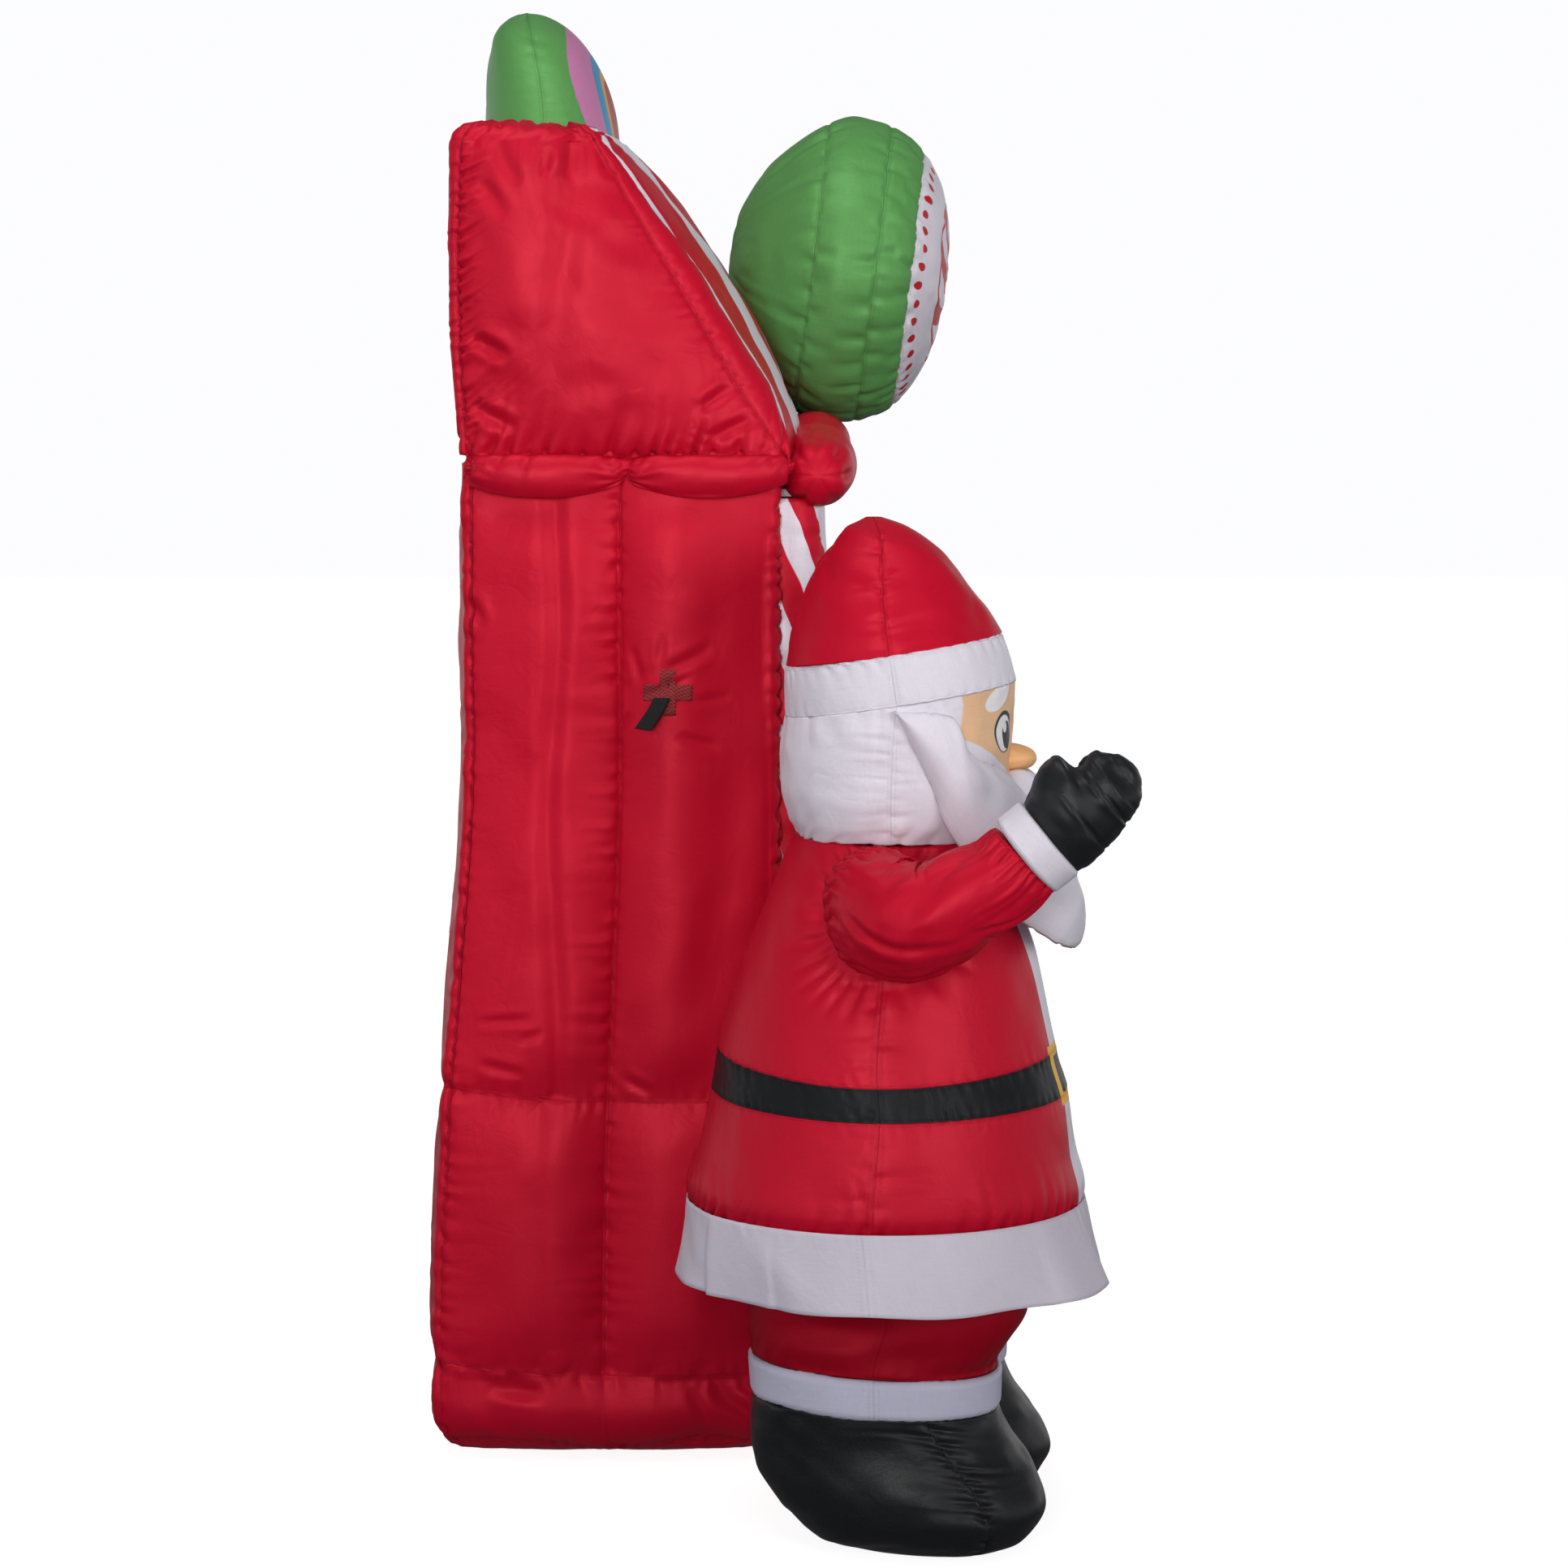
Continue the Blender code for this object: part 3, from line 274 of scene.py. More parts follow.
class Wire:
    def __init__(self, finish, socket):
        self.finish, self.socket = finish, socket

    def calc(self, operation, other=None, swapped=False, clamp=False):
        values = {0: self} if other is None else {0: other, 1: self} if swapped else {0: self, 1: other}
        return self.finish.add("ShaderNodeMath", {"operation": operation, "use_clamp": clamp}, values)

    def __add__(self, other): return self.calc("ADD", other)
    def __sub__(self, other): return self.calc("SUBTRACT", other)
    def __mul__(self, other): return self.calc("MULTIPLY", other)
    def __truediv__(self, other): return self.calc("DIVIDE", other)
    def __pow__(self, other): return self.calc("POWER", other)
    def __rsub__(self, other): return self.calc("SUBTRACT", other, True)
    def __gt__(self, other): return self.calc("GREATER_THAN", other)
    def __abs__(self): return self.calc("ABSOLUTE")
    __radd__, __rmul__ = __add__, __mul__


class Finish:
    def __init__(self, name):
        self.material = bpy.data.materials.new(name)
        self.material.use_nodes = True
        self.tree = self.material.node_tree
        self.shader = self.tree.nodes["Principled BSDF"]

    def add(self, kind, settings=None, values=None, output=0):
        # adds a node: its settings first, then the values or wires of its sockets
        node = self.tree.nodes.new(kind)
        for key, value in (settings or {}).items():
            setattr(node, key, value)
        for key, value in (values or {}).items():
            self.feed(node.inputs[key], value)
        return Wire(self, node.outputs[output])

    def feed(self, socket, value):
        if isinstance(value, Wire):
            self.tree.links.new(value.socket, socket)
        else:
            socket.default_value = value

    def parts(self, vector):
        # the three numbers of a vector
        split = self.add("ShaderNodeSeparateXYZ", None, {0: vector}).socket.node
        return [Wire(self, out) for out in split.outputs]

    def stored(self, name):
        # the three numbers of a vector that the mesh carries
        return self.parts(self.add("ShaderNodeAttribute", {"attribute_name": name}, None, 1))

    def cloth(self):
        # metres across and along the cloth
        return self.add("ShaderNodeUVMap", {"uv_map": "cloth"})

    def paint(self, mask, over, under):
        # the colour over where the mask is 1, and under where it is 0
        full = [(*c, 1.0) if isinstance(c, tuple) and len(c) == 3 else c for c in (under, over)]
        return self.add("ShaderNodeMix", {"data_type": "RGBA"}, {0: mask, 6: full[0], 7: full[1]}, 2)

    def edge(self, value, soft):
        # 1 where the value is above 0, 0 where it is below, with a soft step between
        return (value / soft + 0.5).calc("ADD", 0.0, clamp=True)

    def oval(self, a, b, centre, radii, turnDeg=0.0, soft=0.12):
        # 1 inside an ellipse on two coordinates
        c, s = math.cos(math.radians(turnDeg)), math.sin(math.radians(turnDeg))
        x, y = a - centre[0], b - centre[1]
        inX, inY = (x * c + y * s) / radii[0], (y * c - x * s) / radii[1]
        return self.edge(1 - (inX * inX + inY * inY), soft)

    def noise(self, vector, stretch, detail=2.0, distortion=0.0):
        scaled = self.add("ShaderNodeVectorMath", {"operation": "MULTIPLY"}, {0: vector, 1: stretch})
        values = {"Vector": scaled, "Scale": 1.0, "Detail": detail, "Distortion": distortion}
        return self.add("ShaderNodeTexNoise", None, values)

    def spot(self):
        return self.add("ShaderNodeTexCoord", None, None, 3)      # Object coordinates

    def figureSpot(self):
        # the figure's own upright frame, in shares of its height
        return self.parts(self.add("ShaderNodeMapping", {"vector_type": "TEXTURE"}, {
            "Vector": self.spot(), "Location": (*figure["at"], 0.0), "Scale": (figure["height"],) * 3,
            "Rotation": (0, 0, math.radians(figure["turnDeg"]))}))


weave = {
    "threads": 330.0, "slub": 34.0,        # noise cells to the metre across and along a thread
    "contrast": 0.16, "bump": 0.10,
    "cloudSize": 7.0, "cloud": 0.10,       # slow colour variation
    "creaseSize": 20.0, "creaseBump": 0.22,
    "seamWidth": 0.0009, "seamDark": 0.16,
    "stitchOff": 0.0042, "stitchPitch": 0.0060, "stitchHalf": 0.0010, "stitchGap": 0.4,
}


def nylon(name, slotName, colour, roughness=0.44, specular=0.16, sheen=0.0, gloss=0.15,
          seamShade=1.0, weaveShare=1.0):
    # woven nylon: threads both ways, slow clouds of colour, fine creases, sewn seams with stitches
    f = Finish(name)
    cloth = f.cloth()
    warp = f.noise(cloth, (weave["threads"], weave["slub"], 1.0))
    weft = f.noise(cloth, (weave["slub"], weave["threads"], 1.0))
    thread = (warp + weft - 1) * weaveShare
    cloud = f.noise(f.spot(), (weave["cloudSize"],) * 3, 3.0) - 0.5
    fine = abs(f.noise(f.spot(), (weave["creaseSize"],) * 3, 4.0, 0.6) - 0.5)
    passedAcross, passedUp, _ = f.stored("seamPlace")
    spanAcross, spanUp, _ = f.stored("seamSpan")
    u, v, _ = f.parts(cloth)
    toUpright = passedAcross.calc("PINGPONG", 0.5) * spanAcross
    toLevel = passedUp.calc("PINGPONG", 0.5) * spanUp
    nearest = toUpright.calc("MINIMUM", toLevel)
    seam = f.edge(weave["seamWidth"] - nearest, weave["seamWidth"])

    def dashes(away, along):
        # a thin line beside the seam, cut into stitches
        line = f.edge(weave["stitchHalf"] - abs(away - weave["stitchOff"]), 0.0008)
        return line * ((along / weave["stitchPitch"]).calc("FRACT") > weave["stitchGap"])

    stitch = dashes(toUpright, v).calc("MAXIMUM", dashes(toLevel, u))
    base = colour(f) if callable(colour) else (*colour, 1.0)
    woven = 1 + thread * weave["contrast"] + cloud * weave["cloud"]
    shade = woven * (1 - seam * weave["seamDark"] * seamShade) * (1 - stitch * 0.10 * seamShade)
    grey = f.add("ShaderNodeCombineXYZ", None, {0: shade, 1: shade, 2: shade})
    shaded = f.add("ShaderNodeMix", {"data_type": "RGBA", "blend_type": "MULTIPLY"},
                   {0: 1.0, 6: base, 7: grey}, 2)
    f.feed(f.shader.inputs["Base Color"], shaded)
    f.feed(f.shader.inputs["Roughness"], roughness + thread * 0.10 + fine * 0.10)
    height = thread * weave["bump"] - seam * 0.7 - stitch * 0.3 + fine * (weave["creaseBump"] * 8)
    bump = f.add("ShaderNodeBump", None, {"Height": height, "Strength": 1.0, "Distance": 0.0010})
    f.feed(f.shader.inputs["Normal"], bump)
    for socket, value in (("Specular IOR Level", specular), ("Sheen Weight", sheen), ("Sheen Roughness", 0.4),
                          ("Metallic", gloss)):               # gloss in the cloth's own colour
        f.shader.inputs[socket].default_value = value
    return {"finish": f.material, "slot": slotName}


colours = {
    "red": (0.55, 0.0030, 0.024), "white": (0.74, 0.70, 0.78), "black": (0.009, 0.0095, 0.011),
    "green": (0.110, 0.330, 0.090), "skin": (0.80, 0.50, 0.29), "gold": (0.85, 0.48, 0.040),
    "pink": (0.60, 0.22, 0.43), "blue": (0.045, 0.32, 0.56), "amber": (0.76, 0.36, 0.030),
    "brick": (0.42, 0.035, 0.025), "trouser": (0.30, 0.0020, 0.012), "pattern": (0.50, 0.018, 0.020),
    # cuff: the boot cuffs' white painted darker, as painted shade; it is the same white cloth in shade
    "cuff": (0.52, 0.51, 0.64), "trim": (0.62, 0.58, 0.67), "nose": (0.84, 0.46, 0.20),
    "webbing": (0.010, 0.010, 0.011), "brow": (0.86, 0.84, 0.88), "eye": (0.80, 0.79, 0.82),
    "tape": (0.34, 0.034, 0.038), "thread": (0.08, 0.012, 0.014),
}
figure = {"height": 1.572, "at": (-1.050, -0.437), "turnDeg": -5.0}


# Shop walls

shopWalls = {
    "width": 1.46, "depth": 0.55, "height": 1.60, "backSetIn": 0.028, "frontSetIn": 0.008,
    "corners": (0.018, 0.014, 0.014, 0.018), "baseRound": 0.080, "sideRound": 0.100, "lobeBulge": 0.030,
    "lobeShares": (0.3, 1.0, 0.6, 1.0), "lobes": (3, 2, 4, 2),      # front, one side, back, other side
    "lowerSwell": 0.058, "swellShare": 0.72, "baseSeam": 0.026, "bandSeam": 0.145, "waistSeam": 0.606,
    "seamRise": 0.020, "seamFade": 0.06,                   # rise towards the back, reach of a shallow lobe
    # counts of lobes and corners from the front's left end
    "seams": (0, 1, 2, 3, 5, 6, 8, 9, 10, 12, 13, 15),
    "tucked": 0.045,                                       # how far the cloth runs on up behind the eave
    "steps": (56, 94, 56, 94), "rows": 222, "footHeight": 0.10, "footRows": 16,
    "nip": 0.005, "nipRun": 0.020, "nipUntil": 1.5,
    # puckers: pitch, reach, depth, seed, slant
    "uprightPuckers": (0.032, 0.040, 0.0140, 11, -0.7), "finePuckers": (0.017, 0.020, 0.0030, 12, -0.4),
    "levelPuckers": (0.026, 0.024, 0.0042, 21), "bandPuckers": (0.070, 0.070, 0.0060, 31, 0.9),
    "calmForward": 0.92, "calmRearward": 0.90, "calmBelow": 0.45, "calmBack": 0.25,
    "hills": [(0.0022, 1, 0.7, 0.05, 52)], "sideHills": [(0.0030, 1, 0.25, 0.085, 51)],
    "backSwing": (0.0080, -0.0035),                        # the front and rear side lobes lean forward
    "valleyAt": 0.0985, "valley": (0.0085, 0.016), "lowValley": (0.0040, 0.020),   # depth, width
}


def lobe(place):
    # a row of cushion lobes: the sine between two seams to the power 0.8
    return np.abs(np.sin(np.pi * place)) ** 0.8


def drawnIn(height, radius):
    # how far a quarter-round edge has drawn in at a height above its lowest line
    return radius - np.sqrt(radius ** 2 - np.clip(radius - height, 0, radius) ** 2)


def boxRings(height, halfX, front, back, bulges, lobes, steps, corners):
    # level rings round a box with round corners, whose faces swell in lobes: counter-clockwise from the
    # front's left end. Gives the points, and at each column the count of lobes and corners passed
    middle, half = (front + back) / 2, (halfX, (back - front) / 2)
    bend = np.linspace(0, math.pi / 2, 11)[1:-1]
    x, y, count, passed = [], [], [], 0
    for face in range(4):
        c, s = round(math.cos(math.pi / 2 * face)), round(math.sin(math.pi / 2 * face))
        length, reach = half[face % 2][:, None], half[1 - face % 2][:, None]
        before, after = corners[face - 1], corners[face]
        at = np.linspace(0, 1, steps[face] + 1)
        along = np.hstack([before - length + (2 * length - before - after) * at,
                           length - after + after * np.sin(bend)])
        out = np.hstack([reach + bulges[face][:, None] * lobe(at * lobes[face]),
                         reach - after + after * np.cos(bend)])
        x.append(c * along + s * out)
        y.append(s * along - c * out)
        count.append(np.hstack([passed + at * lobes[face], passed + lobes[face] + bend / (math.pi / 2)]))
        passed += lobes[face] + 1
    x, y = np.hstack(x), np.hstack(y) + middle[:, None]
    return np.stack([x, y, height[:, None] + 0 * x], -1), np.hstack(count), passed


def sewnAt(points, count, total, seams):
    # the seams passed at each column and the metres between them, for seams given as counts of lobes
    # and corners, measured along the middle row
    row = points[len(points) // 2]
    run = np.hstack([0, np.cumsum(np.linalg.norm(np.diff(np.vstack([row, row[:1]]), axis=0), axis=1))])
    at = np.interp(seams, np.hstack([count, total]), run)
    place = np.interp(run[:-1], at, np.arange(len(seams)))
    span = np.diff(at)[np.clip(place.astype(int), 0, len(seams) - 2)]
    shape = points.shape[:2]
    return np.broadcast_to(place, shape), np.broadcast_to(span, shape)


def wallSwell(z):
    # the body stands out most below the waist, and not at all from swellShare of its height up
    low, top = shopWalls["bandSeam"], shopWalls["swellShare"] * shopWalls["height"]
    return shopWalls["lowerSwell"] * (1 - np.clip((z - low) / (top - low), 0, 1) ** 2) ** 1.5


def wallSeams(y, z):
    # level seams: under the base, over the base band, at the waist and at the top
    rise = shopWalls["seamRise"] * np.clip(y / (shopWalls["depth"] / 2), 0, 1) ** 2
    return between(z, [shopWalls["baseSeam"] + 0 * rise, shopWalls["bandSeam"] + rise,
                       shopWalls["waistSeam"] + rise])


def lobeDepth(z):
    # how far the lobes stand out: full between the level seams, half at them and at the top
    w = shopWalls
    depth = w["lobeBulge"] * np.ones_like(z)
    for seam in (0.0, w["bandSeam"], w["waistSeam"], w["height"]):
        depth = depth * (1 - 0.5 * np.exp(-((np.minimum(z - seam, w["height"] - seam) / w["seamFade"]) ** 2)))
    return depth


def wallRings(z):
    w = shopWalls
    halfX = w["width"] / 2 + 0.5 * wallSwell(z) - drawnIn(z, w["sideRound"])
    front = -w["depth"] / 2 + w["frontSetIn"] + drawnIn(z, w["baseRound"])
    back = w["depth"] / 2 - w["backSetIn"] + wallSwell(z) - drawnIn(z, w["baseRound"])
    bulges = [share * lobeDepth(z) for share in w["lobeShares"]]
    return boxRings(z, halfX, front, back, bulges, w["lobes"], w["steps"], w["corners"])


wallFolds = [   # creases on the side walls round the tether and at the waist: start, end, width, depth
    ((0.225, 0.665), (0.150, 0.650), 0.008, 0.004), ((0.225, 0.735), (0.140, 0.742), 0.007, 0.004),
    ((0.215, 1.380), (0.235, 1.430), 0.009, 0.005), ((-0.050, 1.262), (-0.125, 1.305), 0.008, 0.004),
    ((-0.075, 1.305), (-0.160, 1.350), 0.009, 0.004), ((-0.100, 1.205), (-0.170, 1.185), 0.008, 0.004),
    ((-0.045, 1.290), (-0.030, 1.350), 0.007, 0.004), ((-0.130, 1.262), (-0.190, 1.268), 0.007, 0.003),
    ((-0.030, 1.240), (-0.005, 1.215), 0.007, 0.004), ((-0.075, 1.310), (-0.080, 1.370), 0.007, 0.003),
    ((0.120, 0.720), (0.155, 0.705), 0.007, 0.004), ((-0.010, 0.645), (-0.060, 0.618), 0.008, 0.005),
    ((-0.160, 0.130), (-0.245, 0.050), 0.012, 0.007), ((-0.120, 0.125), (-0.155, 0.060), 0.010, 0.005),
    ((-0.200, 0.135), (-0.250, 0.105), 0.009, 0.005), ((0.215, 0.130), (0.120, 0.118), 0.012, 0.007),
]


def sewWalls():
    w = shopWalls
    top = w["height"] + w["tucked"]
    foot = np.linspace(0, w["footHeight"], w["footRows"])
    z = np.hstack([foot, np.linspace(w["footHeight"], top, w["rows"])[1:]])
    points, count, total = wallRings(z)
    (u, _), y, height = onCloth(points), points[..., 1], points[..., 2]
    level = wallSeams(y, height)
    place, span = sewnAt(points, count, total, w["seams"])
    right, back, left = [(count > low) & (count < high) for low, high in ((4, 6), (6, 12), (12, 14))]
    side = (left | right).astype(float)[None]
    inBand = (height < w["bandSeam"] - 0.001) & (side > 0)
    upright = (np.where(inBand, np.floor(place) + 0.5, place), span)
    # 0 at the back and 1 at the front
    sideShare = np.where(left, (count - 12) / 2, np.where(right, 1 - (count - 4) / 2, 0))[None]
    forward = risen(sideShare, 0.06, 0.47)                    # the lobe in front of the middle seam
    rearward = 1 - risen(sideShare, 0.08, 0.18)               # beside the rear seam
    upper = risen(height, 0.06, w["waistSeam"])
    calm = 1 - side * upper * (w["calmForward"] * forward + w["calmRearward"] * rearward)
    calm = np.clip(calm - w["calmBelow"] * side * (1 - upper), 0.1, 1)
    calm = np.where(back, w["calmBack"], calm)
    push = puckers(upright, height, *w["uprightPuckers"]) * calm
    push += puckers(upright, height + 0.4, *w["finePuckers"]) * calm
    push += puckers(level, u, *w["levelPuckers"])
    push += puckers(level, u + 0.3, *w["bandPuckers"]) * (height < w["bandSeam"] + 0.04)
    strip = ((count < 12) & (count > 10.75) | (count > 6) & (count < 7.25)).astype(float)[None]
    push += strip * 0.0025 * rumple(u + 0.6 * height, height, 0.030, 41)
    push += hills(u, height, w["sideHills"]) * side + hills(u, height, w["hills"])
    half = 2 * sideShare - (sideShare > 0.5)                  # 0 to 1 across each side lobe, from the back
    swing = np.where(sideShare > 0.5, *w["backSwing"]) * lobeDepth(height) / w["lobeBulge"]
    push += side * np.sin(2 * math.pi * half) * swing
    valley = y - w["valleyAt"] - 0.012 * wander(height / 0.35, 53)
    deep, wide = w["valley"]                                  # a soft upright valley in the rear side lobe
    push -= side * deep * np.exp(-(valley / wide) ** 2) * (height > w["waistSeam"])
    deep, wide = w["lowValley"]
    push -= side * deep * np.exp(-((valley - 0.03) / wide) ** 2) * (height < w["waistSeam"]) * (1 - inBand)
    push += inBand * lobeDepth(height) * (0.85 * np.sin(math.pi * sideShare) ** 0.6 - lobe(2 * sideShare))
    nipped = fromSeam(level, w["nipRun"]) * (height > w["footHeight"]) * (height < w["nipUntil"])
    push -= w["nip"] * nipped * np.where(side > 0, 0.35, 1.0)
    push += groove(upright, 0.0018) + groove(level, 0.0018)
    push *= risen(height, 0.03)                               # the underside lies flat
    for start, end, width, depth in wallFolds:
        push += side * fold(y, height, start, end, width, depth)
    push *= risen(top - height, 0.05)
    made = pushOut(points, push)
    addPiece("shopWalls", [grid(made, upright, level)], redCloth, "house_walls")
    return made, z, left, right


# Roof

shopRoof = {
    "height": 0.594, "eaveSeam": 0.055, "eaveTuck": 0.008, "topFront": 0.045, "topRound": 0.035,
    "gableBulge": 0.045, "slopeBulge": 0.092, "backSwell": 0.020, "front": -0.280, "steep": 0.93,
    "overhang": 0.004, "steps": (90, 92, 50, 92), "rows": 118, "eaveRows": 22, "topRows": 7, "topRun": 0.03,
    "lobes": (2, 1, 1, 1), "seams": (0, 1, 2, 3, 4, 7, 8, 9), "backCorner": 0.016,
    # how far the gusset between gable and slope stands forward: rows of (share of the height, metres)
    "gusset": [(0.0, 0.006), (0.10, 0.034), (0.24, 0.050), (0.50, 0.051), (0.73, 0.033), (1.0, 0.007)],
    "piping": 0.012, "stripe": 0.120,
    # two hanging lobes under each gable's eave, pinched between by creases like rays
    "underBulge": 0.017, "underMiddle": -0.019, "underRun": 0.265, "underDrop": 0.016, "rays": 0.006,
    # puckers: pitch, reach, depth, seed
    "seamPuckers": (0.022, 0.022, 0.0042, 61), "risingPuckers": (0.021, 0.055, 0.0120, 62),
    "gablePuckers": (0.032, 0.060, 0.0165, 63), "finePuckers": (0.015, 0.018, 0.0035, 68),
    "eavePuckers": (0.045, 0.030, 0.0050, 64), "topPuckers": (0.045, 0.060, 0.0080, 65),
    "hills": [(0.0050, 1, 0.4, 0.11, 66), (0.0022, 1, 1, 0.045, 67)],
    "valley": (0.012, 0.030),                              # depth and width of the gable's slanting valley
}


def roofRings(rise):
    r, w = shopRoof, shopWalls
    share = np.clip((rise - r["eaveSeam"]) / (r["height"] - r["eaveSeam"]), 0, 1)
    pillow = np.sin(np.pi * share) ** 0.42
    tuck = r["eaveTuck"] * np.sin(np.pi * np.clip(rise / r["eaveSeam"], 0, 1))
    rounding = drawnIn(r["height"] - rise, r["topRound"])
    halfX = w["width"] / 2 + r["overhang"] + tuck - rounding
    front = r["front"] + (r["topFront"] - r["front"]) * share ** r["steep"] - tuck + rounding
    back = w["depth"] / 2 - w["backSetIn"] + r["backSwell"] * pillow - rounding
    gusset = curveAt(r["gusset"], share)[0]
    gable = r["gableBulge"] * pillow
    slope = np.maximum(r["slopeBulge"] * pillow - gusset, 0.003)
    corners = (gusset[:, None], r["backCorner"], r["backCorner"], gusset[:, None])
    bulges = (slope, gable, 0.5 * r["backSwell"] * pillow, gable)
    return boxRings(w["height"] + rise, halfX, front - gusset, back, bulges, r["lobes"], r["steps"], corners)


def sewRoof():
    r, w = shopRoof, shopWalls
    topStart = r["height"] - r["topRun"]
    rise = np.hstack([np.linspace(0.0005, r["eaveSeam"], r["eaveRows"]),
                      np.linspace(r["eaveSeam"], topStart, r["rows"])[1:],
                      r["height"] - r["topRun"] * np.cos(np.linspace(0, math.pi / 2, r["topRows"]))[1:]])
    points, count, total = roofRings(rise)
    y = points[..., 1]
    across = (y - r["underMiddle"]) / r["underRun"]
    side = (((count > 3) & (count < 4)) | ((count > 7) & (count < 8))).astype(float)[None]
    fromEnd = np.clip((w["width"] / 2 - np.abs(points[..., 0])) / 0.10, 0, 1)
    hang = np.where(side > 0, np.abs(np.sin(math.pi * across)), fromEnd) ** 0.5
    drop = r["eaveSeam"] - (points[..., 2] - w["height"])
    points[..., 2] += np.where(drop > 0, drop * 0.50 * (1 - hang), 0)
    u, v = onCloth(points)
    upright = sewnAt(points, count, total, r["seams"])
    height = points[..., 2] - w["height"]
    level = between(height, [r["eaveSeam"], r["height"] - 0.004])
    above = (height > r["eaveSeam"]).astype(float)
    gable = side * above
    push = puckers(upright, v, *r["seamPuckers"]) * np.where((count > 2.6) & (count < 8.4), 1.0, 0.25)[None]
    rising = v - (w["depth"] / 2 - y)                          # creases that climb forward from the rear edge
    push += puckers(upright, rising, *r["risingPuckers"]) * gable * risen(y, 0.10, 0.02)
    push += puckers(level, u, *r["gablePuckers"]) * above * (height < 0.4)
    push += puckers(level, u + 0.2, *r["finePuckers"]) * above * (height < 0.4)
    push += puckers(level, u, *r["eavePuckers"]) * (1 - above)
    push += puckers(level, u, *r["topPuckers"]) * (height > 0.45)
    push += hills(u, v, r["hills"])
    push += groove(upright, 0.0022) + groove(level, 0.0028, 0.0050) * (height < 0.5)
    deep, wide = r["valley"]
    push -= gable * deep * np.exp(-((y - 0.06 - 0.12 * (0.5 - height)) / wide) ** 2) * risen(height, 0.5)
    for start, end, width, depth in roofFolds:
        push += gable * fold(y, height, start, end, width, depth)
    upShare = 1 - np.clip(drop / r["eaveSeam"], 0, 1)
    pillow = hang * np.sin(math.pi * (0.06 + 0.94 * upShare)) ** 0.5
    pinch = (y - r["underMiddle"], height - 0.025)
    angle, around = np.arctan2(pinch[1], pinch[0]), np.hypot(*pinch)
    rays = r["rays"] * np.cos(7 * angle + 1.5 * np.sin(2 * angle)) ** 2 * np.exp(-(around / 0.060) ** 1.5)
    push *= risen(r["eaveSeam"] - drop, 0.006)
    push += side * (1 - above) * (r["underBulge"] * pillow + r["underDrop"] * hang + 0.002 - rays)
    push -= gable * 0.7 * rays
    onSlope = (count <= 2) & (height > r["eaveSeam"])
    # metres from the slope's side edge
    panel = np.where(onSlope, (1 - np.abs(count - 1)) * (w["width"] / 2 - 0.05), -0.01)
    addPiece("shopRoof", [grid(pushOut(points, push), upright, level, panel=panel)], roofCloth, "house_roof")


roofFolds = [   # creases on the gables: start, end (distance back, rise), width, depth
    ((0.215, 0.500), (0.170, 0.440), 0.012, 0.004), ((0.190, 0.560), (0.150, 0.490), 0.012, 0.004),
    ((0.060, 0.560), (0.070, 0.500), 0.010, 0.004), ((0.020, 0.555), (0.000, 0.500), 0.010, 0.004),
    ((0.100, 0.550), (0.110, 0.505), 0.009, 0.005), ((-0.190, 0.170), (-0.140, 0.130), 0.010, 0.007),
    ((-0.225, 0.120), (-0.160, 0.085), 0.010, 0.007), ((0.230, 0.250), (0.165, 0.215), 0.011, 0.007),
    ((0.230, 0.140), (0.160, 0.100), 0.011, 0.007),
]


def roofPrint(f):
    # a white piping at each side edge of the slope, then stripes down it
    panel = f.stored("seamSpan")[2]
    inside = f.edge(panel - 0.001, 0.001)
    piping = inside * f.edge(shopRoof["piping"] - panel, 0.002)
    wave = (panel / (2 * shopRoof["stripe"])).calc("FRACT") - 0.5
    stripes = inside * f.edge(wave, 0.012)
    return f.paint(piping.calc("MAXIMUM", stripes), colours["white"], colours["red"])


# Half-round cushion on the ridge

ridgeCushion = {"width": 0.54, "height": 0.236, "thickness": 0.236, "lean": 0.042, "power": 2.3,
                "ringMiddle": 0.060, "ringSquash": 0.66, "rings": (0.152, 0.105, 0.078, 0.062),
                "endPuckers": (0.026, 0.045, 0.0040, 71), "basePuckers": (0.035, 0.030, 0.0030, 72),
                "hills": [(0.0020, 1, 1, 0.07, 73)]}
ridgeBase = shopWalls["height"] + shopRoof["height"] + 0.0005
ridgeMiddleY = shopWalls["depth"] / 2 - shopWalls["backSetIn"] - ridgeCushion["thickness"] / 2 + 0.010


def ovalRing(turn, halfX, halfY, power):
    # a superellipse: cosine and sine to the power 2 over power, with their signs kept
    c, s = np.cos(turn), np.sin(turn)
    return (halfX * np.sign(c) * np.abs(c) ** (2 / power), halfY * np.sign(s) * np.abs(s) ** (2 / power))


def turns(columns, start=0.0):
    # equal steps once round, from a starting angle
    return start + 2 * math.pi * np.arange(columns) / columns


def fromBack(columns):
    # counter-clockwise from the back, so that the row's middle is in front
    return turns(columns, math.pi / 2)[None]


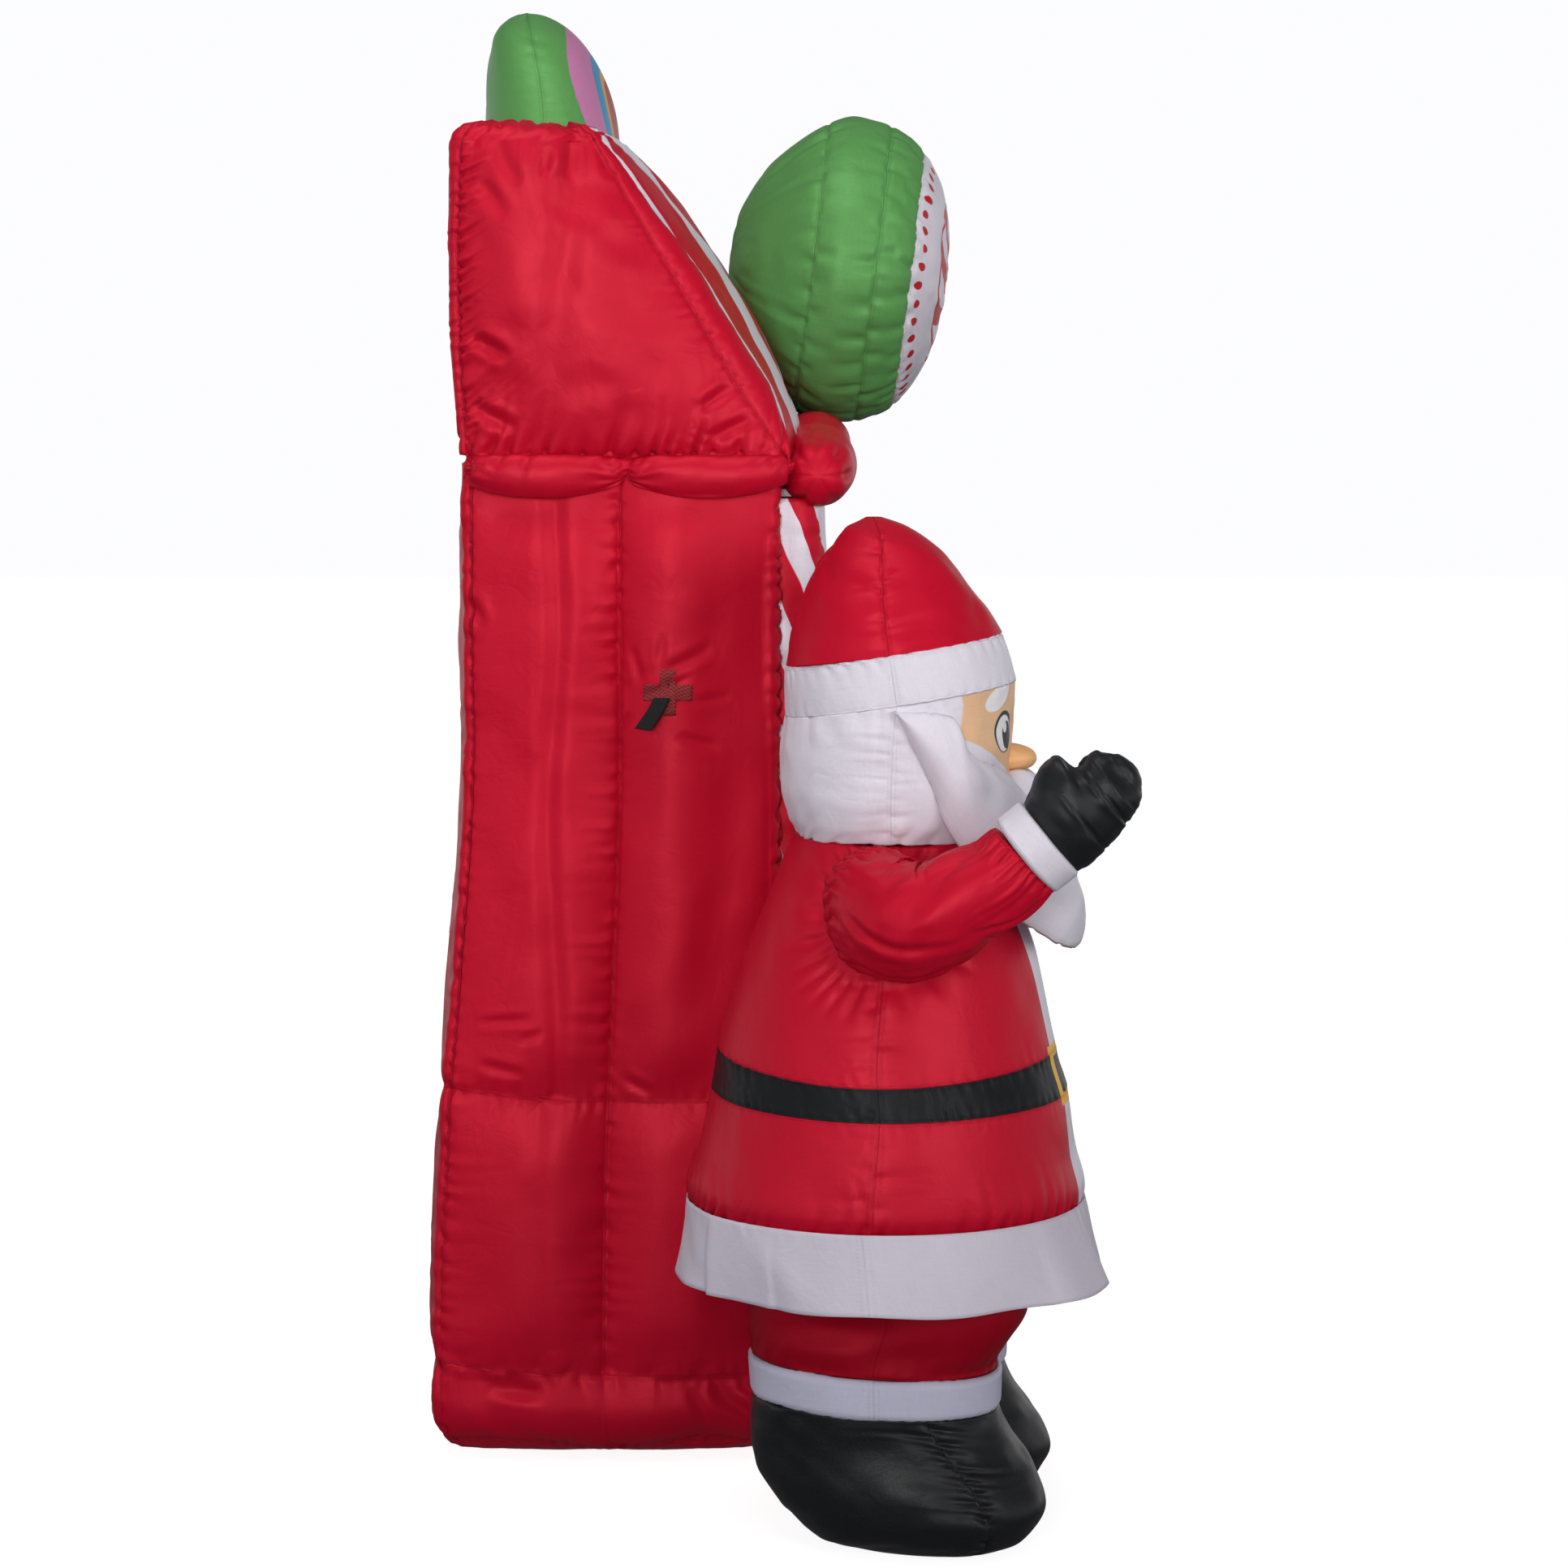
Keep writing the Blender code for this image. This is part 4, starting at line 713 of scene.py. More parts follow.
def sewRidgeCushion():
    c = ridgeCushion
    angle = np.linspace(0, math.pi / 2 * 0.985, 60)[:, None]
    turn = fromBack(150)
    shrink = np.cos(angle) ** 0.85
    x, y = ovalRing(turn, c["width"] / 2 * shrink, c["thickness"] / 2 * shrink, c["power"])
    z = ridgeBase + c["height"] * np.sin(angle) + 0 * x
    points = np.stack([x, ridgeMiddleY + c["lean"] * np.sin(angle) ** 2 + y, z], -1)
    u, v = onCloth(points)
    upright = (np.broadcast_to((turn - math.pi) / math.pi, u.shape), 0.45 * np.ones_like(u))   # end seams
    push = puckers(upright, z, *c["endPuckers"]) + groove(upright, 0.0018)
    push += puckers(between(z, [ridgeBase]), u, *c["basePuckers"]) + hills(u, v, c["hills"])
    cushion = grid(pushOut(points, push * risen(z, 0.01, ridgeBase)), upright)
    addPiece("ridgeCushion", [cushion], ridgeCloth, "roof_candy")


def ridgePrint(f):
    # half rings one inside the other on the front, green behind and outside
    x, y, z = f.parts(f.spot())
    rise = z - (ridgeBase + ridgeCushion["ringMiddle"])
    wide = x * ridgeCushion["ringSquash"]
    radius = (wide * wide + rise * rise) ** 0.5
    paintedSide = f.edge(ridgeMiddleY - 0.01 - y, 0.004)
    colour = colours["green"]
    for limit, name in zip(ridgeCushion["rings"], ("pink", "blue", "amber", "brick")):
        colour = f.paint(paintedSide * f.edge(limit - radius, 0.002), colours[name], colour)
    return colour


# Round sign

roundSign = {
    "radius": 0.268, "thickness": 0.392, "centreHeight": 1.979, "front": 0.568, "leanDeg": 7.0,
    "profile": [(0.00, 0.00), (0.02, 0.26), (0.10, 0.54), (0.24, 0.79), (0.37, 0.94), (0.50, 1.00),
                (0.63, 0.985), (0.75, 0.91), (0.86, 0.78), (0.94, 0.58), (0.985, 0.32), (1.00, 0.00)],
    "seams": (0.38, 0.66, 0.82), "dots": 40, "dotRing": 0.775, "dotSize": 0.0075,
    "swirlArms": 8, "swirlRadius": 0.52, "swirlTwist": 9,
    "puckers": (0.056, 0.050, 0.0075, 81), "finePuckers": (0.017, 0.014, 0.0030, 84),
    "hills": [(0.0034, 1, 1, 0.10, 82), (0.0016, 1, 1, 0.035, 83)],
}


def signAxis():
    lean = math.radians(roundSign["leanDeg"])
    ahead = np.array([0, -math.cos(lean), -math.sin(lean)])
    up = np.array([0, -math.sin(lean), math.cos(lean)])
    centreY = roundSign["thickness"] / 2 - roundSign["front"]
    return np.array([0, centreY, roundSign["centreHeight"]]), ahead, up


def sewSign():
    s = roundSign
    centre, ahead, up = signAxis()
    knots = np.array(s["profile"])
    legs = np.diff(knots * [s["thickness"], s["radius"]], axis=0)
    bend = np.hstack([0, np.cumsum(np.hypot(*legs.T))])
    run = np.linspace(0.004, bend[-1] - 0.004, 116)
    place, radius = curveAt(np.column_stack([bend, knots]), run)
    turn = turns(260, -math.pi / 2)
    r = (radius * s["radius"])[:, None]
    points = centre + ahead * ((place - 0.5) * s["thickness"])[:, None, None] \
        + (r * np.cos(turn))[..., None] * [1, 0, 0] + (r * np.sin(turn))[..., None] * up
    u, v = onCloth(points)
    seamsAt = np.interp(s["seams"], place, run)
    level = [np.broadcast_to(part, u.shape) for part in between(run[:, None], list(seamsAt))]
    around = turn * s["radius"] + 0 * u
    push = puckers(level, around, *s["puckers"]) * (level[0] < 2.2)
    push += puckers(level, around + 1, *s["finePuckers"]) * (level[0] < 2.3)
    push += groove(level, 0.0024) + hills(around, v, s["hills"])
    push += 0.004 * lobe(level[0]) * (level[0] > 0) * (level[0] < 2)
    sign = grid(pushOut(points, push * risen(radius, 0.25)[:, None]), level=level, panel=place[:, None])
    addPiece("roundSign", [sign], signCloth, "sign_drum")


def signPrint(f):
    # green drum, white front with a ring of red dots and a swirl of red arms round the middle
    s = roundSign
    centre, _, _ = signAxis()
    place = f.stored("seamSpan")[2]
    local = f.add("ShaderNodeMapping", {"vector_type": "TEXTURE"}, {
        "Vector": f.spot(), "Location": tuple(centre), "Rotation": (math.radians(s["leanDeg"]), 0, 0)})
    x, _, z = f.parts(local)
    radius = (x * x + z * z) ** 0.5
    angle = z.calc("ARCTAN2", x)
    white = f.edge(place - s["seams"][2], 0.004)
    step = (angle * (s["dots"] / (2 * math.pi)) + s["dots"]).calc("FRACT") - 0.5
    dotAcross = step * (2 * math.pi * s["dotRing"] * s["radius"] / s["dots"])
    dotOut = radius - s["dotRing"] * s["radius"]
    dots = f.edge(s["dotSize"] ** 2 - (dotAcross * dotAcross + dotOut * dotOut), 0.00001)
    arms = angle * (s["swirlArms"] / (2 * math.pi)) + radius * s["swirlTwist"] + s["swirlArms"]
    swirlEdge = s["swirlRadius"] * s["radius"]
    swirl = f.edge(arms.calc("FRACT") - 0.5, 0.03) * f.edge(swirlEdge - radius, 0.002)
    rim = f.edge(0.004 - abs(radius - swirlEdge), 0.002)
    face = f.paint(dots.calc("MAXIMUM", swirl).calc("MAXIMUM", rim), colours["pattern"], colours["white"])
    return f.paint(white, face, colours["green"])


# Roll under the eave, and the striped columns

eaveRoll = {"radius": 0.064, "lobes": 4, "nip": 0.013, "arch": 0.040, "centreHeight": 1.626, "endLip": 0.012,
            "endRun": 0.055, "puckers": (0.022, 0.050, 0.0060, 91), "hills": [(0.0030, 1, 1, 0.05, 92)]}
cornerColumn = {"radius": 0.068, "inset": 0.100, "foot": 0.015, "pitch": 0.200, "turns": 5, "phase": 0.085,
                "shortBy": 0.012, "puckers": (0.030, 0.030, 0.0030, 95), "hills": [(0.0025, 1, 1, 0.05, 96)]}


def sewRoll():
    r = eaveRoll
    halfRun = shopWalls["width"] / 2 - 0.010
    place = np.linspace(0, 1, 249)[:, None]
    turn = turns(64, 0.4)[None]
    nip = np.abs(np.cos(math.pi * place * r["lobes"])) ** 3
    radius = r["radius"] - r["nip"] * nip
    fromEnd = np.minimum(place, 1 - place) * 2 * halfRun
    radius = radius * (0.10 + 0.90 * (1 - (1 - np.clip(fromEnd / r["endRun"], 0, 1)) ** 2.6) ** 0.5)
    x = -halfRun - r["endLip"] + (2 * halfRun + 2 * r["endLip"]) * place
    z = r["centreHeight"] + r["arch"] * np.sin(math.pi * place)
    middleY = -shopWalls["depth"] / 2 - 0.86 * r["radius"]
    points = np.stack([x + 0 * turn, middleY - radius * np.sin(turn), z + radius * np.cos(turn)], -1)
    u, v = onCloth(points)
    nips = between(place * r["lobes"], range(1, r["lobes"]))
    level = [np.broadcast_to(nips[0], u.shape), np.full(u.shape, 2 * halfRun / r["lobes"])]
    push = puckers(level, turn * r["radius"] + 0 * u, *r["puckers"]) + hills(u, v, r["hills"])
    push -= 0.008 * np.cos(3.5 * turn + 0.6 * np.sin(turn)) ** 6 * np.exp(-((fromEnd - 0.030) / 0.035) ** 2)
    push = (push + groove(level, 0.0020, 0.0050)) * np.clip(fromEnd / 0.03, 0.05, 1)
    roll = grid(pushOut(points, push), level=level)
    addPiece("eaveRoll", [roll], redCloth, "awning_roll")


def sewColumn(side, name):
    c = cornerColumn
    x = side * (shopWalls["width"] / 2 - c["inset"])
    z = np.linspace(0, shopWalls["height"] - c["shortBy"], 205)[:, None]
    turn = fromBack(72)
    radius = c["radius"] - drawnIn(z, c["foot"]) * 0.6
    y = -shopWalls["depth"] / 2 + radius * np.sin(turn)
    points = np.stack([x + radius * np.cos(turn), y, z + 0 * turn], -1)
    u, v = onCloth(points)
    upright = (np.broadcast_to((turn - math.pi * 1.35) / math.pi, u.shape), 0.21 * np.ones_like(u))
    push = puckers(upright, z, *c["puckers"]) + hills(u, v, c["hills"]) + groove(upright, 0.0014)
    push -= 0.0035 * np.abs(wander(z / 0.10, 97)) * np.cos(turn) ** 2
    column = grid(pushOut(points, push * risen(z, 0.03)), upright)
    addPiece(name, [column], candyCloth)


def columnPrint(f):
    # red and white stripes that wind steeply down round the column
    u, v, _ = f.parts(f.cloth())
    c = cornerColumn
    winding = u * (c["turns"] / (2 * math.pi * c["radius"]))
    wave = (v / c["pitch"] + winding + (20 - c["phase"])).calc("FRACT") - 0.5
    return f.paint(f.edge(wave, 0.02), colours["white"], colours["red"])


# Tether: a sewn cross of tape on the side wall and a loose end of strap

tether = {
    "height": 1.276, "forward": 0.087, "length": 0.080, "upright": 0.075, "band": 0.026, "thickness": 0.0022,
    "strapWidth": 0.027, "strapLength": 0.050, "strapThickness": 0.0030,
    "standsOff": 0.016, "drop": 0.008, "setBack": 0.010, "swing": 0.030,
    "zigzagRun": 0.0050, "zigzagPitch": 0.0062, "threadShare": 0.30,
}


def wallSide(y, z, side):
    # how far the sewn side wall stands from the middle, read between the points of its grid
    made, rowHeights, left, right = wallCloth
    columns = np.flatnonzero(left if side < 0 else right)
    columns = columns[::-1] if side < 0 else columns
    row = np.interp(z, rowHeights, np.arange(len(rowHeights)))
    column = np.interp(y, made[len(made) // 2, columns, 1], np.arange(len(columns)))
    r, c = np.floor(row).astype(int), np.floor(column).astype(int)
    partR, partC = row - r, column - c
    x = np.abs(made[:, columns, 0])
    below = x[r, c] * (1 - partC) + x[r, c + 1] * partC
    over = x[r + 1, c] * (1 - partC) + x[r + 1, c + 1] * partC
    return below * (1 - partR) + over * partR


def slab(across, up, place, thickness, steps=(26, 10)):
    # a thin closed pad on a surface: a loop of points round its cross-section, carried up it
    outside = np.linspace(-1, 1, steps[0])
    loopA = np.hstack([outside, outside[::-1]]) * across
    loopT = np.hstack([0 * outside, 0 * outside + 1]) * thickness
    loopT = np.where(np.abs(loopA) > across * 0.97, np.clip(loopT, thickness * 0.2, thickness * 0.8), loopT)
    rows = np.linspace(-1, 1, steps[1])[:, None] * up
    return place(loopA + 0 * rows, rows + 0 * loopA, loopT + 0 * rows)


def sewTether(side, name):
    t = tether
    wall = wallSide(-t["forward"], t["height"], side)

    def onWall(a, b, off):
        y, z = -t["forward"] - side * a, t["height"] + b
        pull = 0.0012 * rumple(a, b, 0.010, 101)
        return np.stack([side * (wallSide(y, z, side) + off + pull * (off > 0)), y, z], -1)

    patches = [grid(slab(t["length"] / 2, t["band"] / 2, onWall, t["thickness"])),
               grid(slab(t["band"] / 2, t["upright"] / 2, onWall, t["thickness"] * 1.15))]
    addPiece("tetherPatch" + name, patches, patchCloth)

    def onStrap(a, b, off):
        fall = 0.5 - b / t["strapLength"]                     # 0 where it is sewn on, 1 at the loose end
        out = t["thickness"] * 2.1 + t["standsOff"] * fall ** 1.5 + 0.004 * np.sin(math.pi * fall)
        y = -t["forward"] + t["setBack"] + t["swing"] * fall ** 1.2 - side * a
        z = t["height"] - t["drop"] - t["strapLength"] * fall - 0.15 * a * side * fall
        return np.stack([side * (wall + out + off), y, z + 0 * a], -1)

    strap = grid(slab(t["strapWidth"] / 2, t["strapLength"] / 2, onStrap, t["strapThickness"], (12, 24)))
    addPiece("tetherStrap" + name, [strap], webbing)


def patchPrint(f):
    # red tape with rows of dark zigzag thread
    u, v, _ = f.parts(f.cloth())
    zigzag = (u / tether["zigzagRun"]).calc("PINGPONG", 0.5)
    row = (v / tether["zigzagPitch"] + zigzag).calc("FRACT")
    return f.paint(f.edge(tether["threadShare"] - row, 0.1), colours["thread"], colours["tape"])


# The figure: outlines are rows of (height, half width, back, front) in shares of its own height

outlines = {
    "coat": [(.3170, .1860, .1950, -.1880), (.3400, .1935, .1985, -.1925), (.3770, .1900, .1870, -.1850),
             (.4310, .1800, .1740, -.1780), (.4710, .1725, .1680, -.1665), (.5640, .1480, .1400, -.1460),
             (.6370, .1250, .1130, -.1210), (.6868, .1080, .0930, -.1080)],
    "head": [(.6868, .1050, .0900, -.1030), (.7050, .1160, .0990, -.1120), (.7370, .1225, .1060, -.1190),
             (.7740, .1225, .1060, -.1210), (.8210, .1195, .1010, -.1240)],
    "crown": [(.8690, .1160, .1010, -.1090), (.8960, .1070, .0960, -.0970), (.9250, .0940, .0850, -.0810),
              (.9520, .0770, .0705, -.0640), (.9740, .0560, .0530, -.0420), (.9900, .0330, .0380, -.0180),
              (.9985, .0110, .0230, .0080)],
}
hat = {"low": 0.8210, "high": 0.8690, "frontRise": 0.155, "power": 2.1, "seamTurn": 0.02, "bandSwell": 0.012}
belt = {"low": 0.4305, "lowRise": 0.004, "high": 0.4625, "highRise": 0.014, "frontStripe": 0.038,
        "buckleWide": 0.046, "buckleHigh": 0.029, "buckleFrame": 0.011, "buckleMiddle": 0.4545}
armhole = {"height": 0.624, "radius": 0.105, "pull": 0.006, "crease": 0.0055}
sideSpan = 0.45       # metres of cloth that count as lying beside a side seam
# puckers of its pieces: pitch, reach, depth, seed, slant
figurePuckers = {
    "coatSide": (0.045, 0.030, 0.0022, 111), "belt": (0.024, 0.024, 0.0040, 112),
    "hem": (0.030, 0.050, 0.0130, 113),
    "headSide": (0.026, 0.035, 0.0028, 121), "neck": (0.040, 0.040, 0.0050, 122),
    "band": (0.030, 0.028, 0.0045, 131, 0.5), "crown": (0.034, 0.045, 0.0060, 133, 0.3),
    "beard": (0.028, 0.030, 0.0028, 141), "moustache": (0.012, 0.030, 0.0030, 151),
    "armhole": (0.024, 0.055, 0.0110, 171), "mitten": (0.026, 0.026, 0.0016, 175),
    "leg": (0.034, 0.045, 0.0060, 181), "bootCuff": (0.020, 0.016, 0.0022, 183),
    "boot": (0.022, 0.040, 0.0095, 191, 0.2), "trim": (0.030, 0.030, 0.0030, 203),
}
# and their unevenness: height, share of across, share of along, size, seed
figureHills = {
    "coat": [(0.0036, 1, 0.25, 0.14, 114), (0.0020, 1, 0.7, 0.05, 115)],
    "head": [(0.0040, 1, 0.5, 0.09, 123)], "fineHead": [(0.0018, 1, 1, 0.030, 124)],
    "band": [(0.0015, 1, 1, 0.05, 132)], "crown": [(0.0034, 1, 1, 0.10, 134), (0.0020, 1, 1, 0.04, 135)],
    "beard": [(0.0030, 1, 1, 0.06, 142), (0.0014, 1, 1, 0.025, 143)],
    "moustache": [(0.0012, 1, 1, 0.03, 152)], "nose": [(0.0012, 1, 1, 0.018, 161)],
    "sleeve": [(0.0060, 1, 0.5, 0.06, 172), (0.0022, 1, 1, 0.025, 173)],
    "cuff": [(0.0016, 1, 1, 0.04, 174)], "mitten": [(0.0026, 1, 1, 0.06, 176), (0.0012, 1, 1, 0.02, 178)],
    "leg": [(0.0060, 0.6, 2, 0.07, 182)], "bootCuff": [(0.0026, 1, 1, 0.06, 184)],
    "boot": [(0.0055, 1, 1, 0.11, 192), (0.0020, 1, 1, 0.035, 193)], "trim": [(0.0030, 1, 1, 0.06, 204)],
}


def figureRings(outline, height, turn, power=2.0, rise=0.0):
    # level rings of the figure in its own frame: superellipses read from an outline, tilted by rise
    half, back, front = curveAt(outline, height)
    x, y = ovalRing(turn, half, (back - front) / 2, power)
    return np.stack([x, y + (back + front) / 2, height - rise * y], -1) * figure["height"]


def toWorld(points):
    turn = math.radians(figure["turnDeg"])
    x = points[..., 0] * math.cos(turn) - points[..., 1] * math.sin(turn) + figure["at"][0]
    y = points[..., 0] * math.sin(turn) + points[..., 1] * math.cos(turn) + figure["at"][1]
    return np.stack([x, y, points[..., 2]], -1)


def addFigurePiece(name, points, push, cloth, upright=noSeams, level=noSeams):
    addPiece(name, [grid(toWorld(pushOut(points, push)), upright, level)], cloth)


def sideSeams(turn, shape, offset=0.0):
    # the two side seams, at half a turn from each other
    return (np.broadcast_to((turn - math.pi - offset) / math.pi, shape), np.full(shape, sideSpan))


def sewCoat():
    outline, scale = outlines["coat"], figure["height"]
    height = np.linspace(outline[0][0], outline[-1][0], 168)[:, None]
    turn = fromBack(300)
    points = figureRings(outline, height + 0 * turn, turn)
    u, v = onCloth(points)
    ahead = np.cos(turn - math.pi / 2) ** 2                   # 1 at the front and back, 0 at the sides
    upright = sideSeams(turn, u.shape)
    lines = [belt["low"] + belt["lowRise"] * ahead, belt["high"] + belt["highRise"] * ahead]
    level = between((height + 0 * turn) * scale, [line * scale for line in lines])
    fromHem = (height - outline[0][0]) * scale + 0 * u
    push = puckers(upright, v, *figurePuckers["coatSide"]) + groove(upright, 0.0010)
    onBelt = (level[0] > 0) & (level[0] < 1)
    push += puckers(level, u, *figurePuckers["belt"]) * np.where(onBelt, 1.0, 0.5)
    push += puckers((fromHem / 0.2, 0.2 * np.ones_like(u)), u, *figurePuckers["hem"]) * (fromHem < 0.1)
    push += hills(u, v, figureHills["coat"])
    for middle in (math.pi, 2 * math.pi):                     # pulled in and creased round both armholes
        beside, above = (turn - middle + 0.02) * 0.20, (height - armhole["height"]) * scale
        out = np.hypot(beside, above) / armhole["radius"]
        push -= armhole["pull"] * np.exp(-((out - 1.0) / 0.22) ** 2)
        angle = np.arctan2(above, beside)
        near = np.exp(-((out - 1.15) / 0.30) ** 2)
        push -= armhole["crease"] * near * np.cos(13 * angle + 2 * np.sin(3 * angle)) ** 4
    addFigurePiece("santaCoat", points, push, coatCloth, upright, level)


def coatPrint(f):
    # a black belt, a gold buckle at the front and a white stripe down the front
    b = belt
    x, y, z = f.figureSpot()
    turnShare = (y * y) / (x * x + y * y + 0.0001)
    low = z - (b["low"] + b["lowRise"] * turnShare)
    high = (b["high"] + b["highRise"] * turnShare) - z
    front = f.edge(-0.06 - y, 0.004)
    stripe = front * f.edge(b["frontStripe"] - abs(x), 0.0012)
    coat = f.paint(stripe, colours["white"], colours["red"])
    coat = f.paint(f.edge(low, 0.0012) * f.edge(high, 0.0012), colours["black"], coat)
    for frame, paint in ((0.0, "gold"), (b["buckleFrame"], "black")):
        inX, inZ = b["buckleWide"] - frame - abs(x), b["buckleHigh"] - frame - abs(z - b["buckleMiddle"])
        coat = f.paint(front * f.edge(inX, 0.0012) * f.edge(inZ, 0.0012), colours[paint], coat)
    return coat


def sewHead():
    low = outlines["head"][0][0]
    height = np.linspace(low, hat["low"], 76)[:, None]
    turn = fromBack(240)
    rise = hat["frontRise"] * ((height - low) / (hat["low"] - low)) ** 1.5
    points = figureRings(outlines["head"], height + 0 * turn, turn, hat["power"], rise)
    u, v = onCloth(points)
    upright = sideSeams(turn, u.shape, hat["seamTurn"])
    level = between(v, [0.0, 0.215])                          # at the neck and under the hat
    ahead = risen(-np.sin(turn), 0.3, 0.35)                   # 1 where the face is
    push = puckers(upright, v, *figurePuckers["headSide"]) + groove(upright, 0.0014)
    push += puckers(level, u, *figurePuckers["neck"]) * (1 - 0.8 * ahead)
    push += hills(u, v, figureHills["head"]) * (1 - 0.6 * ahead) + hills(u, v, figureHills["fineHead"])
    addFigurePiece("santaHead", points, push, faceCloth, upright)


# places and radii on the head's front, in shares of the figure's height, drawn one over the other
face = {
    "patchHalf": 0.0995, "patchLow": 0.7895, "patchSlope": 0.55,
    "marks": [((.0575, .8268), (.0215, .0108), -26.0, "brow"), ((.0440, .7925), (.0205, .0205), 0.0, "black"),
              ((.0450, .7910), (.0165, .0178), 0.0, "eye"), ((.0390, .7890), (.0105, .0135), 0.0, "black"),
              ((.0430, .7965), (.0042, .0052), 0.0, "eye")],
}


def facePrint(f):
    # white head with a skin-coloured patch in front, and two plain eyes under round white brows
    x, y, z = f.figureSpot()
    side = abs(x)
    patch = f.edge(-0.02 - y, 0.003) * f.edge(face["patchHalf"] - side, 0.0012)
    patch = patch * f.edge(z - face["patchLow"] + (face["patchHalf"] - side) * face["patchSlope"], 0.0012)
    colour = f.paint(patch, colours["skin"], colours["white"])
    ahead = f.edge(-0.05 - y, 0.003)
    for centre, radii, turnDeg, paint in face["marks"]:
        colour = f.paint(ahead * f.oval(side, z, centre, radii, turnDeg), colours[paint], colour)
    return colour


def sewHat():
    turn = fromBack(240)
    columns = np.full(turn.shape, 1.0)
    low = figureRings(outlines["head"], hat["low"] * columns, turn, hat["power"], hat["frontRise"])
    high = figureRings(outlines["crown"], hat["high"] * columns, turn, hat["power"], hat["frontRise"])
    place = np.linspace(0, 1, 36)[:, None, None]
    points = low + (high - low) * place
    swell = 1 + hat["bandSwell"] * np.sin(math.pi * place) ** 0.7
    points = points * np.concatenate([swell, swell, np.ones_like(swell)], axis=2)
    u, v = onCloth(points)
    upright = sideSeams(turn, u.shape, hat["seamTurn"])
    level = between(v, [0.0005, 0.075])
    push = puckers(level, u, *figurePuckers["band"]) + groove(upright, 0.0014)
    push += hills(u, v, figureHills["band"]) + 0.0004
    addFigurePiece("hatBand", points, push, whiteCloth, upright, level)

    top = outlines["crown"][-1][0]
    height = np.linspace(hat["high"], top, 74)[:, None]
    share = (height - hat["high"]) / (top - hat["high"])
    rise = hat["frontRise"] * (1 - share) ** 1.3
    points = figureRings(outlines["crown"], height + 0 * turn, turn, hat["power"], rise)
    u, v = onCloth(points)
    upright = sideSeams(turn, u.shape, hat["seamTurn"])
    push = puckers(upright, v, *figurePuckers["crown"]) + groove(upright, 0.0020)
    push = (push + hills(u, v, figureHills["crown"])) * risen(1 - share, 0.12)
    addFigurePiece("hatCrown", points, push, redCloth, upright)


# the beard's edges: rows of (degrees from the front, height, reach); its thickness before and behind
beard = {"upper": [(0.0, .722, .124), (27.0, .757, .1245), (45.0, .772, .1270), (54.0, .790, .1275),
                   (58.0, .812, .1260), (84.0, .8185, .1225)],
         "lower": [(0.0, .577, .186), (14.0, .582, .182), (30.0, .606, .160), (45.0, .652, .140),
                   (58.0, .695, .129), (72.0, .768, .1228), (84.0, .8165, .1220)],
         "front": 0.028, "behind": 0.020}


def sewBeard():
    b = beard
    turn = np.linspace(-84, 84, 118)[:, None]
    upper = curveAt(b["upper"], np.abs(turn[:, 0]))
    lower = curveAt(b["lower"], np.abs(turn[:, 0]))
    around = np.linspace(0, 2, 121)[:-1][None]
    down = np.where(around < 1, around, 2 - around)
    across = np.maximum(np.cos(np.radians(turn)), 0) ** 0.5
    swell = np.sin(math.pi * down) ** 0.62
    thick = np.where(around < 1, b["front"], -b["behind"]) * swell * across
    z = upper[0][:, None] + (lower[0] - upper[0])[:, None] * down
    reach = upper[1][:, None] + (lower[1] - upper[1])[:, None] * down + thick
    angle = np.radians(turn)
    points = np.stack([np.sin(angle) * reach, -np.cos(angle) * reach, z], -1) * figure["height"]
    u, v = onCloth(points)
    edgeSeam = (np.broadcast_to(around, u.shape), np.full(u.shape, 0.18))
    push = puckers(edgeSeam, v, *figurePuckers["beard"]) + hills(u, v, figureHills["beard"])
    push *= np.clip(across * 1.5, 0, 1)
    addFigurePiece("beard", points, push, whiteCloth, edgeSeam)


moustache = {"reach": 0.070, "height": 0.734, "drop": 0.030, "forward": 0.128, "half": 0.0215, "thick": 0.022}
nose = {"height": 0.7640, "half": 0.0135, "forward": 0.1150, "wide": 0.0205, "deep": 0.0270}


def sewMoustache():
    m = moustache
    across = np.linspace(-1, 1, 90)[:, None]
    turn = turns(48)[None]
    size = (1 - np.abs(across) ** 2.2) ** 0.6
    tall = m["half"] * size * (0.72 + 0.28 * np.minimum(np.abs(across) * 4, 1)) + 0.001
    thick = m["thick"] * (1 - 0.7 * across ** 2)
    x = m["reach"] * across + 0 * turn
    y = -m["forward"] * np.cos(0.62 * across) - thick * np.sin(turn)
    z = m["height"] - m["drop"] * np.abs(across) ** 1.6 + tall * np.cos(turn)
    points = np.stack([x, y, z], -1) * figure["height"]
    u, v = onCloth(points)
    middle = (x / 0.4, np.full(u.shape, 0.4 * figure["height"]))
    push = puckers(middle, turn * 0.03 + 0 * u, *figurePuckers["moustache"])
    push += hills(u, v, figureHills["moustache"])
    addFigurePiece("moustache", points, push, whiteCloth, level=middle)


def sewNose():
    angle = np.linspace(-0.5, 0.47, 40)[:, None] * math.pi
    turn = fromBack(48)
    girth = np.cos(angle) ** 0.8
    wide = nose["wide"] * girth * (1 - 0.12 * np.sin(angle))
    deep = nose["deep"] * girth * (1 - 0.10 * np.sin(angle))
    x, y = ovalRing(turn, wide, deep, 2.0)
    z = nose["height"] + nose["half"] * np.sin(angle) + 0 * turn
    points = np.stack([x, y - nose["forward"] - 0.004 * np.cos(angle), z], -1) * figure["height"]
    u, v = onCloth(points)
    addFigurePiece("nose", points, hills(u, v, figureHills["nose"]), noseCloth)


# Arms: stations (x, y, height, half breadth, half depth) in shares of the figure's height

